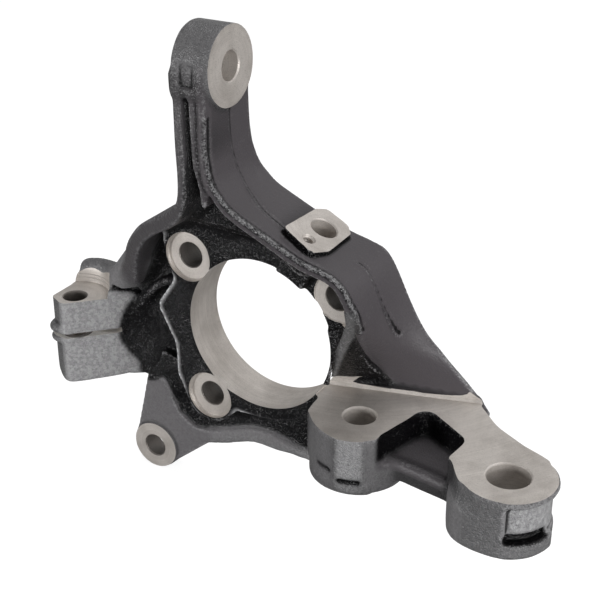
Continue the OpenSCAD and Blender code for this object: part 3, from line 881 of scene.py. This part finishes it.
def milled(name, material, axis, corners, start, stop, centre, lean=None):
    """Cutter with an outline in the two other directions, extruded along one.

    Lean moves each corner of the far end.
    """
    corners = rounded(corners)
    moves = np.zeros((2, len(corners), 3))
    if lean is not None:
        moves[1] = np.insert(np.array(lean, float), axis, 0, axis=1)
    area = sum(a[0] * b[1] - a[1] * b[0] for a, b in zip(corners, corners[1:] + corners[:1]))
    forward = (area > 0) == (axis != 1)
    count = len(corners)
    points = [np.insert(np.array(c, float), axis, level) for level in (start, stop) for c in corners]
    points = np.array(points) + moves.reshape(-1, 3)
    faces = [tuple(range(count))[::-1], tuple(range(count, 2 * count))]
    faces += [(i, (i + 1) % count, count + (i + 1) % count, count + i) for i in range(count)]
    if not forward:
        faces = [f[::-1] for f in faces]
    return cutter(name, points, faces, material, centre, np.eye(3)[axis])


def hole_profile(radius, top, bottom, chamfer=0.6):
    """Through hole between two faces, with both of its edges broken."""
    return [(radius + chamfer + 2, bottom - 2), (radius, bottom + chamfer),
            (radius, top - chamfer), (radius + chamfer + 2, top + 2)]


def thread_profile(radius, top, bottom, pitch, chamfer=0.8):
    """Tapped hole: the thread's grooves are cut outside its inner radius."""
    rows = [(radius, bottom)]
    turns = int((top - chamfer - bottom) / pitch) - 1
    for i in range(turns):
        level = bottom + (i + 0.5) * pitch
        rows += [(radius, level), (radius + 0.45 * pitch, level + 0.5 * pitch)]
    return rows + [(radius, top - chamfer - 0.1), (radius + chamfer + 1, top + 1)]


def foot(hole, axis):
    """Point of a hole's axis in the plane through the origin."""
    return hole.place * (1 - axis)


def hub_cutters(iron, drilled_painted_shade):
    """Bearing seat, bolt seats and holes, the blind tapped hole and the bore."""
    past_edge = 1.04
    outline = [(past_edge * x, past_edge * z, fillet) for x, z, fillet in HUB_OUTLINE]
    cuts = [milled("bearing_seat", iron, 1, outline, BEARING_Y, BEARING_Y + 12, (0, BEARING_Y, 0))]
    for i, bolt in enumerate(BOLTS):
        centre = foot(bolt, Y_AXIS)
        cuts.append(turned(f"bolt_seat_{i}", iron, centre, Y_AXIS, [
            (SEAT_R, -20), (SEAT_R, SEAT_Y - 1.3), (SEAT_R - 0.3, SEAT_Y - 1),
            (SEAT_R - 0.3, SEAT_Y - 0.5), (SEAT_R - 0.6, SEAT_Y - 0.3), (SEAT_R - 0.6, SEAT_Y)]))
        cuts.append(turned(f"bolt_hole_{i}", drilled_painted_shade, centre, Y_AXIS,
                           hole_profile(bolt.radius, BEARING_Y, SEAT_Y, 0.5)))
    cuts.append(turned("blind_hole", iron, foot(BLIND_BOLT, Y_AXIS), Y_AXIS,
                       thread_profile(BLIND_BOLT.radius, BEARING_Y, 3, 1.5)))
    cuts.append(turned("hub_bore", iron, (0, 0, 0), Y_AXIS, [
        (HUB.radius, -40), (HUB.radius, BEARING_Y - 1.2), (HUB.radius + 3.2, BEARING_Y + 2)], 192))
    return cuts


def arm_cutters(iron):
    """Face and hole of the arm's round end."""
    end = TIE_ROD.place
    face_r = ARM_END_R + 3.2
    return [
        turned("arm_face", iron, end, X_AXIS, [(face_r, 0), (face_r, 9)]),
        turned("tie_rod_hole", iron, foot(TIE_ROD, X_AXIS), X_AXIS,
               hole_profile(TIE_ROD.radius, end[0], ARM_LEFT, 0.7)),
    ]


def strut_outline(clearance):
    """Outline of the milled strut face, whose back edge runs beside the rim."""
    left, right, front = 35.2, 190, -80
    corner, back, far_back = 112.8, 11.3 + clearance, 32.4 + clearance
    return [(left, front, 0), (left, back, 0), (corner, far_back, 0), (right, far_back, 0),
            (right, front, 0)]


def strut_cutters(iron):
    """Strut face with the room for the tool above it, spot faces from below and both holes."""
    middle = 30, 70, STRUT_TOP
    lean = (0, 0), (-0.3, 1.1), (-0.3, 1.1), (0, 1.1), (0, 0)
    spot_r = 27.5
    cuts = [
        milled("strut_face", iron, 2, strut_outline(0), STRUT_TOP, STRUT_TOP + 1.7, middle, lean),
        milled("strut_clearance", iron, 2, strut_outline(0.6), STRUT_TOP + 1.2, STRUT_TOP + 7, middle),
    ]
    for i, strut in enumerate((STRUT_1, STRUT_2)):
        centre = foot(strut, Z_AXIS)
        cuts.append(turned(f"strut_underside_{i}", iron, centre, Z_AXIS,
                           [(spot_r, STRUT_BOTTOM - 8), (spot_r, STRUT_BOTTOM)]))
        cuts.append(turned(f"strut_hole_{i}", iron, centre, Z_AXIS,
                           hole_profile(strut.radius, STRUT_TOP, STRUT_BOTTOM, 0.7)))
    return cuts


def clamp_cutters(iron, drilled_painted_shade, sawn_painted_light):
    """Saw cut, the stud's bore, and the pinch bolt's seat, hole and thread."""
    left, level = CLAMP_LEFT, STUD.place[2]
    saw_half, saw_end = 1.5, -101.5
    seat_r, seat_z = 19.5, PINCH.place[2]
    centre = foot(PINCH, Z_AXIS)
    return [
        milled("saw_cut", sawn_painted_light, 1, [
            (left - 5, level - saw_half, 0), (saw_end, level - saw_half, 0),
            (saw_end, level + saw_half, 0), (left - 5, level + saw_half, 0),
        ], -40, STUD.place[1], (-1000, 0, level)),
        turned("stud_bore", sawn_painted_light, foot(STUD, X_AXIS), X_AXIS, [
            (STUD.radius + 1, left - 1), (STUD.radius + 0.8, left), (STUD.radius, left + 0.8),
            (STUD.radius, left + STUD.length - 8), (STUD.radius - 5, left + STUD.length)]),
        turned("pinch_seat", iron, centre, Z_AXIS, [
            (seat_r, seat_z), (seat_r, seat_z + 2.4), (seat_r + 0.4, seat_z + 2.8),
            (seat_r + 0.4, seat_z + 4.4), (seat_r + 0.8, seat_z + 4.8), (seat_r + 0.8, seat_z + 30)]),
        turned("pinch_hole", drilled_painted_shade, centre, Z_AXIS, hole_profile(PINCH.radius, seat_z, level, 0.5)),
        turned("pinch_thread", iron, centre, Z_AXIS,
               thread_profile(PINCH_THREAD.radius, level - saw_half, CLAMP_BOTTOM - 2, 1.5)),
    ]


def ear_cutters(iron, drilled_painted_shade):
    """Both faces and the hole of each ear."""
    cuts = []
    for i, ear in enumerate(EARS):
        centre, back = foot(ear, Y_AXIS), ear.place[1]
        cuts += [
            turned(f"ear_front_{i}", iron, centre, Y_AXIS, [(EAR_R + 0.8, -6), (EAR_R + 0.8, EAR_FRONT)]),
            turned(f"ear_back_{i}", iron, centre, Y_AXIS, [(EAR_R + 1.5, back), (EAR_R + 1.5, back + 5)]),
            turned(f"ear_hole_{i}", drilled_painted_shade, centre, Y_AXIS,
                   hole_profile(ear.radius, back, EAR_FRONT, 0.6)),
        ]
    return cuts


def sensor_cutters(iron):
    """Face of the sensor's pad, the sensor's hole and the tapped hole for its screw."""
    place, axis, radius = SENSOR.place, SENSOR.axis, SENSOR.radius
    return [
        turned("sensor_face", iron, place, axis, [(24, 0), (24, 6)]),
        turned("sensor_hole", iron, place, axis, [(radius, -42), (radius, -0.6), (radius + 2, 1.4)]),
        turned("screw_hole", iron, SENSOR_SCREW.place, axis,
               thread_profile(SENSOR_SCREW.radius, 0, -SENSOR_SCREW.length, 1, 1.1), 48),
    ]


def machining(iron, drilled_painted_shade, sawn_painted_light):
    """Every cutter, in the order in which the machine uses them."""
    return [*hub_cutters(iron, drilled_painted_shade), *arm_cutters(iron), *strut_cutters(iron),
            *clamp_cutters(iron, drilled_painted_shade, sawn_painted_light), *ear_cutters(iron, drilled_painted_shade), *sensor_cutters(iron)]


# Finishes

# The coat, from the painted shade in its hollows to the chips in it
COAT_PAINTED_SHADE = (0.002, 0.002, 0.0023, 1)
COAT_DARK = (0.002, 0.0018, 0.0023, 1)
COAT_BLACK = (0.0045, 0.0043, 0.005, 1)
# Painted sheen: grey base of the smooth coat, in place of the light it reflects
COAT_SMOOTH_SHEEN = (0.074, 0.067, 0.0725, 1)
# Paler coat: partly thin paint, partly painted sheen
COAT_THIN_AND_SHEEN = (0.225, 0.223, 0.228, 1), (0.345, 0.342, 0.347, 1)
# Painted glints on the grain's tops
COAT_GLINT = (0.26, 0.256, 0.262, 1)
# Painted highlight along the coat's convex edges
COAT_EDGE_HIGHLIGHT = (0.3, 0.296, 0.303, 1)
# Paint chips, and painted highlight dots along the hub's lip
COAT_CHIP_AND_HIGHLIGHT = (0.72, 0.72, 0.73, 1)
# Machined iron, each in its dark and its light marks; the drilled iron is darker as a painted shade in the
# holes
BARE_IRON = (0.53, 0.49, 0.455, 1), (0.69, 0.645, 0.603, 1)
# Painted shade: dark iron for the insides of the drilled holes
DRILLED_IRON_PAINTED_SHADE = (0.13, 0.118, 0.108, 1), (0.2, 0.185, 0.172, 1)
# Painted light: near-white iron for the saw cut and the stud's bore
SAWN_IRON_PAINTED_LIGHT = (0.82, 0.8, 0.77, 1), (0.95, 0.93, 0.9, 1)
IRON_STAIN = (0.21, 0.18, 0.155, 1)
IRON_PORE = (0.02, 0.018, 0.016, 1)


def new_group(name, inputs, outputs):
    """Empty shader node group with named inputs (kind, value) and outputs."""
    group = bpy.data.node_groups.new(name, "ShaderNodeTree")
    kinds = {"float": "NodeSocketFloat", "vector": "NodeSocketVector", "colour": "NodeSocketColor"}
    for label, (kind, value) in inputs.items():
        socket = group.interface.new_socket(name=label, in_out="INPUT", socket_type=kinds[kind])
        if value is not None:
            socket.default_value = value
    for label, kind in outputs.items():
        group.interface.new_socket(name=label, in_out="OUTPUT", socket_type=kinds[kind])
    return group, Wiring(group)


class Wiring:
    """Short calls for placing and joining shader nodes."""

    def __init__(self, tree):
        self.tree = tree

    def node(self, kind, inputs=None, **settings):
        made = self.tree.nodes.new(kind)
        for key, value in settings.items():
            setattr(made, key, value)
        for key, value in (inputs or {}).items():
            if isinstance(value, bpy.types.NodeSocket):
                self.tree.links.new(value, made.inputs[key])
            else:
                made.inputs[key].default_value = value
        return made

    def math(self, operation, a, b=0.0, c=0.0):
        return self.node("ShaderNodeMath", {0: a, 1: b, 2: c}, operation=operation).outputs[0]

    def vector(self, operation, a, b=(0, 0, 0)):
        made = self.node("ShaderNodeVectorMath", {0: a, 1: b}, operation=operation)
        return made.outputs["Value" if operation in ("DOT_PRODUCT", "LENGTH") else "Vector"]

    def ramp(self, value, low, high, to_low=0.0, to_high=1.0):
        return self.node("ShaderNodeMapRange", {
            "Value": value, "From Min": low, "From Max": high, "To Min": to_low, "To Max": to_high,
        }).outputs[0]

    def noise(self, place, scale, detail, roughness=0.5):
        return self.node("ShaderNodeTexNoise", {
            "Vector": place, "Scale": scale, "Detail": detail, "Roughness": roughness,
        }).outputs["Fac"]

    def weighted(self, first, *more):
        """Sum of values, each times its share."""
        total = self.math("MULTIPLY", *first)
        for value, share in more:
            total = self.math("ADD", total, self.math("MULTIPLY", value, share))
        return total

    def mix(self, factor, a, b):
        made = self.node("ShaderNodeMix", {"Factor": factor, 6: a, 7: b}, data_type="RGBA")
        return made.outputs[2]

    def layer(self, name, output="Fac"):
        return self.node("ShaderNodeAttribute", attribute_name=name).outputs[output]


def grain_group():
    """Fine bumps of sand-cast iron under paint, and the bumps' tops where the coat gets painted glints."""
    group, wires = new_group("cast_grain", {
        "Position": ("vector", None), "Size": ("float", 900.0), "Seed": ("float", 0.0),
    }, {"Height": "float", "Glint": "float"})
    entry = wires.node("NodeGroupInput").outputs
    exit_node = wires.node("NodeGroupOutput")
    fine, coarse = (wires.node("ShaderNodeTexNoise", {
        "Vector": entry["Position"], "W": entry["Seed"], "Scale": size, "Detail": 1.0,
    }, noise_dimensions="4D").outputs["Fac"]
        for size in (entry["Size"], wires.math("MULTIPLY", entry["Size"], 0.4)))
    height = wires.weighted((fine, 0.6), (coarse, 0.4))
    wires.tree.links.new(height, exit_node.inputs["Height"])
    # Tops of the grain, where the coat gets painted glints
    wires.tree.links.new(wires.ramp(height, 0.57, 0.63), exit_node.inputs["Glint"])
    return group


def marks_group():
    """Rings and streaks that a turning or milling tool leaves around its axis."""
    group, wires = new_group("tool_marks", {
        "Centre": ("vector", None), "Axis": ("vector", None), "Pitch": ("float", 1200.0),
    }, {"Height": "float", "Tone": "float"})
    entry = wires.node("NodeGroupInput").outputs
    exit_node = wires.node("NodeGroupOutput")
    place = wires.node("ShaderNodeTexCoord").outputs["Object"]
    from_centre = wires.vector("SUBTRACT", place, entry["Centre"])
    along = wires.vector("DOT_PRODUCT", from_centre, entry["Axis"])
    length = wires.vector("LENGTH", from_centre)
    radius = wires.math("SQRT", wires.math("SUBTRACT", wires.math("MULTIPLY", length, length),
                                           wires.math("MULTIPLY", along, along)))
    rings = wires.node("ShaderNodeCombineXYZ", {"X": radius, "Y": along}).outputs[0]
    wobble = wires.noise(place, 30.0, 1.0)
    fine = wires.noise(rings, entry["Pitch"], 2.0, 0.6)
    broad = wires.noise(rings, wires.math("MULTIPLY", entry["Pitch"], 0.22), 1.0)
    height = wires.weighted((fine, 0.85), (broad, 0.15))
    tone = wires.weighted((broad, 0.3), (wobble, 0.25), (fine, 0.45))
    wires.tree.links.new(height, exit_node.inputs["Height"])
    wires.tree.links.new(tone, exit_node.inputs["Tone"])
    return group


def emptied(holder):
    """Wiring of a material or world, with no nodes left in it."""
    holder.use_nodes = True
    holder.node_tree.nodes.clear()
    return Wiring(holder.node_tree)


def new_material(name):
    """Material with its main shader joined to its output."""
    material = bpy.data.materials.new(name)
    wires = emptied(material)
    shader = wires.node("ShaderNodeBsdfPrincipled")
    wires.node("ShaderNodeOutputMaterial", {"Surface": shader.outputs[0]})
    return material, wires, shader


def join(wires, shader, **sockets):
    """Joins values to the shader's sockets, named with _ for each space."""
    for name, value in sockets.items():
        wires.tree.links.new(value, shader.inputs[name.replace("_", " ")])


def black_coat(grain):
    """Black paint on cast iron, with painted shade in its hollows and painted highlights on its edges."""
    material, wires, shader = new_material("black_coat")
    place = wires.node("ShaderNodeTexCoord").outputs["Object"]
    rough, edge, pale = wires.layer("rough"), wires.layer("edge"), wires.layer("pale")
    speck = wires.node("ShaderNodeGroup", {"Position": place, "Size": 1150.0}, node_tree=grain)
    glint_mask, height = speck.outputs["Glint"], speck.outputs["Height"]
    patch = wires.noise(place, 22.0, 3.0)
    dot_noise = wires.noise(place, 480.0, 2.0)

    # Painted highlight: a pale colour, broken up by the grain, where the skin bends outward
    broken = wires.ramp(height, 0.38, 0.62, -0.3, 0.3)
    painted_edge_highlight = wires.ramp(wires.math("ADD", edge, broken), 0.42, 0.95)
    # Painted shade: the coat is darkened where the skin bends inward, in place of the shade in hollows
    hollow = wires.ramp(edge, -0.12, -0.5)
    # Smooth coat: a lighter grey base as a painted sheen, and lower roughness
    smooth_sheen = wires.ramp(rough, 0.45, 0.1)
    # Painted glints: pale dots on the grain's tops where the coat is rough
    painted_glints = wires.math("MULTIPLY", glint_mask, wires.ramp(rough, 0.35, 1.0, 0.0, 0.4))
    painted_glints = wires.math("MULTIPLY", painted_glints, wires.ramp(patch, 0.36, 0.6))
    # Paler coat where the note asks for it: partly thin paint, partly painted sheen
    sheen_and_thin_share = wires.math("MULTIPLY", wires.math("MINIMUM", pale, 1.0), wires.ramp(pale, 1.0, 1.6, 1.0, 0.3))
    # Bright dots on the palest places: paint chips, and a painted highlight along the hub's lip
    chips_and_highlight = wires.math("MULTIPLY", wires.ramp(pale, 0.9, 1.4), wires.ramp(dot_noise, 0.47, 0.56))

    base = wires.mix(wires.ramp(patch, 0.35, 0.7), COAT_DARK, COAT_BLACK)
    base = wires.mix(smooth_sheen, base, COAT_SMOOTH_SHEEN)
    base = wires.mix(painted_glints, base, COAT_GLINT)
    base = wires.mix(sheen_and_thin_share, base, wires.mix(wires.ramp(height, 0.34, 0.62), *COAT_THIN_AND_SHEEN))
    base = wires.mix(wires.math("MULTIPLY", painted_edge_highlight, 0.7), base, COAT_EDGE_HIGHLIGHT)
    base = wires.mix(chips_and_highlight, base, COAT_CHIP_AND_HIGHLIGHT)
    base = wires.mix(wires.math("MULTIPLY", hollow, 0.9), base, COAT_PAINTED_SHADE)
    gloss = wires.ramp(patch, 0.3, 0.7, 0.13, 0.21)
    gloss = wires.math("ADD", gloss, wires.weighted((pale, 0.16), (smooth_sheen, 0.22)))
    depth = wires.math("MULTIPLY", height, wires.ramp(rough, 0, 1, 0.16, 1.0))
    bump = wires.node("ShaderNodeBump", {"Height": depth, "Strength": 1.0, "Distance": 0.0018})
    shader.inputs["Specular IOR Level"].default_value = 0.27
    join(wires, shader, Base_Color=base, Roughness=gloss, Normal=bump.outputs[0])
    return material


def machined_iron(name, marks, tones, metallic=0.4):
    """Machined iron: warm, with the tool's fine marks, brown stains and open pores."""
    material, wires, shader = new_material(name)
    cut = wires.node("ShaderNodeGroup", {
        "Centre": wires.layer("tool_centre", "Vector"), "Axis": wires.layer("tool_axis", "Vector"),
        "Pitch": 1500.0}, node_tree=marks)
    place = wires.node("ShaderNodeTexCoord").outputs["Object"]
    stain = wires.noise(place, 60.0, 3.0)
    pores = wires.noise(place, 2600.0, 1.0)
    tone = wires.mix(wires.ramp(cut.outputs["Tone"], 0.35, 0.65), *tones)
    stained = wires.mix(0.5, tone, IRON_STAIN)
    tone = wires.mix(wires.ramp(stain, 0.42, 0.7, 0.0, 0.75), tone, stained)
    pitted = wires.mix(0.5, tone, IRON_PORE)
    tone = wires.mix(wires.ramp(pores, 0.56, 0.68, 0.0, 0.6), tone, pitted)
    rough = wires.ramp(cut.outputs["Tone"], 0.35, 0.65, 0.5, 0.42)
    bump = wires.node("ShaderNodeBump", {
        "Height": cut.outputs["Height"], "Strength": 0.5, "Distance": 0.0003})
    shader.inputs["Metallic"].default_value = metallic
    join(wires, shader, Base_Color=tone, Roughness=rough, Normal=bump.outputs[0])
    return material


# The finished piece

def machined(raw, cuts):
    """Mesh of the raw casting, thinned and then cut by every cutter in turn."""
    thin = raw.modifiers.new("thin", "DECIMATE")
    thin.ratio = min(1, TRIANGLES / (2 * len(raw.data.polygons)))
    for tool in cuts:
        step = raw.modifiers.new(tool.name, "BOOLEAN")
        step.operation = "DIFFERENCE"
        step.solver = "MANIFOLD"
        step.material_mode = "TRANSFER"
        step.object = tool
    graph = bpy.context.evaluated_depsgraph_get()
    finished = bpy.data.meshes.new_from_object(raw.evaluated_get(graph))
    for spare in (raw, *cuts):
        bpy.data.objects.remove(spare)
    return finished


def knuckle():
    """The casting's field, and its machined mesh in millimetres."""
    mould = casting()
    points, faces = mould.skin()
    mesh = made_mesh("rough_casting", relaxed(mould, points, faces), faces)
    mesh.materials.append(black_coat(grain_group()))
    tagged(mesh, (0, 0, 0), Y_AXIS)
    marks = marks_group()
    iron = machined_iron("bare_iron", marks, BARE_IRON)
    # Drilled holes get dark iron as painted shade
    drilled_painted_shade = machined_iron("drilled_iron_painted_shade", marks, DRILLED_IRON_PAINTED_SHADE)
    # The saw cut and the stud's bore get near-white iron as painted light
    sawn_painted_light = machined_iron("sawn_iron_painted_light", marks, SAWN_IRON_PAINTED_LIGHT, 0.2)
    return mould, machined(placed("rough_casting", mesh), machining(iron, drilled_painted_shade, sawn_painted_light))


def dressed(mould, mesh):
    """Writes the skin's notes and how sharply it bends, sets the shading and the scale."""
    points = np.zeros(3 * len(mesh.vertices), np.float32)
    mesh.vertices.foreach_get("co", points)
    points = points.reshape(-1, 3).astype(float)
    blurred = mould.field.copy()
    for axis in range(3):
        blurred = (np.roll(blurred, 1, axis) + blurred * 2 + np.roll(blurred, -1, axis)) / 4
    sharpest = 1.5
    bend = mould.sample(blurred - mould.field, points) * 4 / mould.cell ** 2
    edge = np.clip(bend, -sharpest, sharpest)
    layers = {name: mould.sample(grid, points) for name, grid in mould.notes.items()}
    for name, values in (*layers.items(), ("edge", edge)):
        layer = mesh.attributes.new(name, "FLOAT", "POINT")
        layer.data.foreach_set("value", values.astype(np.float32))
    mesh.vertices.foreach_set("co", (points * MM).astype(np.float32).ravel())
    mesh.update()
    mesh.shade_smooth()
    mesh.set_sharp_from_angle(angle=math.radians(SHARP_ANGLE))
    return mesh


mould, mesh = knuckle()
casting_piece = placed("knuckle_casting", dressed(mould, mesh))
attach(casting_piece, "root")
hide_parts("knuckle")


# Camera, floor and light

CAMERA_PLACE = (0.3143, -0.5083, 0.3140)
CAMERA_AZIMUTH = 29.67
CAMERA_ELEVATION = 26.18
CAMERA_LENS = 76.96
BRIGHT_SIDE = (0.555, 0.808, 0.2)
# Place and size in metres, and power in watts
LAMPS = {
    "top_softbox": ((-0.1, 0.35, 1.3), (0.6, 0.6), 4.5),
    "right_softbox": ((1.3, -0.3, 0.35), (0.6, 0.6), 6),
    "left_softbox": ((-0.8, -1.1, 0.15), (0.22, 0.3), 9),
    "low_softbox": ((0.9, -0.9, 0.12), (0.4, 0.25), 6),
}


def camera():
    """Camera at the photograph's angle."""
    data = bpy.data.cameras.new("camera")
    data.lens = CAMERA_LENS
    data.sensor_width = 36
    made = placed("camera", data)
    made.location = CAMERA_PLACE
    made.rotation_euler = (math.radians(90 - CAMERA_ELEVATION), 0, math.radians(CAMERA_AZIMUTH))
    bpy.context.scene.camera = made


def lamp(name, place, size, power):
    """Soft rectangular lamp that faces the hub."""
    data = bpy.data.lights.new(name, "AREA")
    data.shape = "RECTANGLE"
    data.size, data.size_y = size
    data.energy = power
    made = placed(name, data)
    made.location = place
    made.rotation_euler = (-Vector(place)).to_track_quat("-Z", "Y").to_euler()


def seen_white(wires, lit, white):
    """Shows white to the camera, and the lit shader to everything else."""
    seen = wires.node("ShaderNodeLightPath").outputs["Is Camera Ray"]
    return wires.node("ShaderNodeMixShader", {"Fac": seen, 1: lit, 2: white}).outputs[0]


def floor():
    """Pale floor under the casting: it takes the shadow, and the camera sees it near white."""
    low = cad_box[0][2]
    reach = 6
    mesh = bpy.data.meshes.new("floor")
    mesh.from_pydata([(-reach, -reach, low), (reach, -reach, low), (reach, reach, low),
                      (-reach, reach, low)], [], [(0, 1, 2, 3)])
    made = placed("floor", mesh)
    material = bpy.data.materials.new("pale_floor")
    wires = emptied(material)
    matte = wires.node("ShaderNodeBsdfDiffuse", {"Color": (0.27, 0.27, 0.27, 1)}).outputs[0]
    glow = wires.node("ShaderNodeEmission", {"Color": (1, 1, 1, 1), "Strength": 0.9}).outputs[0]
    white = wires.node("ShaderNodeAddShader", {0: matte, 1: glow}).outputs[0]
    shown = seen_white(wires, matte, white)
    wires.node("ShaderNodeOutputMaterial", {"Surface": shown})
    mesh.materials.append(material)


def world():
    """Soft surroundings, brighter behind the casting than on the camera's side."""
    made = bpy.data.worlds.new("studio")
    wires = emptied(made)
    way = wires.node("ShaderNodeTexCoord").outputs["Generated"]
    along = wires.vector("DOT_PRODUCT", way, BRIGHT_SIDE)
    strength = wires.ramp(along, -0.6, 0.8, 0.1, 0.6)
    lit = wires.node("ShaderNodeBackground", {"Color": (1, 1, 1, 1), "Strength": strength}).outputs[0]
    white = wires.node("ShaderNodeBackground", {"Color": (1, 1, 1, 1), "Strength": 1.0}).outputs[0]
    wires.node("ShaderNodeOutputWorld", {"Surface": seen_white(wires, lit, white)})
    bpy.context.scene.world = made


camera()
floor()
world()
for name, settings in LAMPS.items():
    lamp(name, *settings)

bpy.context.scene.view_settings.view_transform = "Standard"
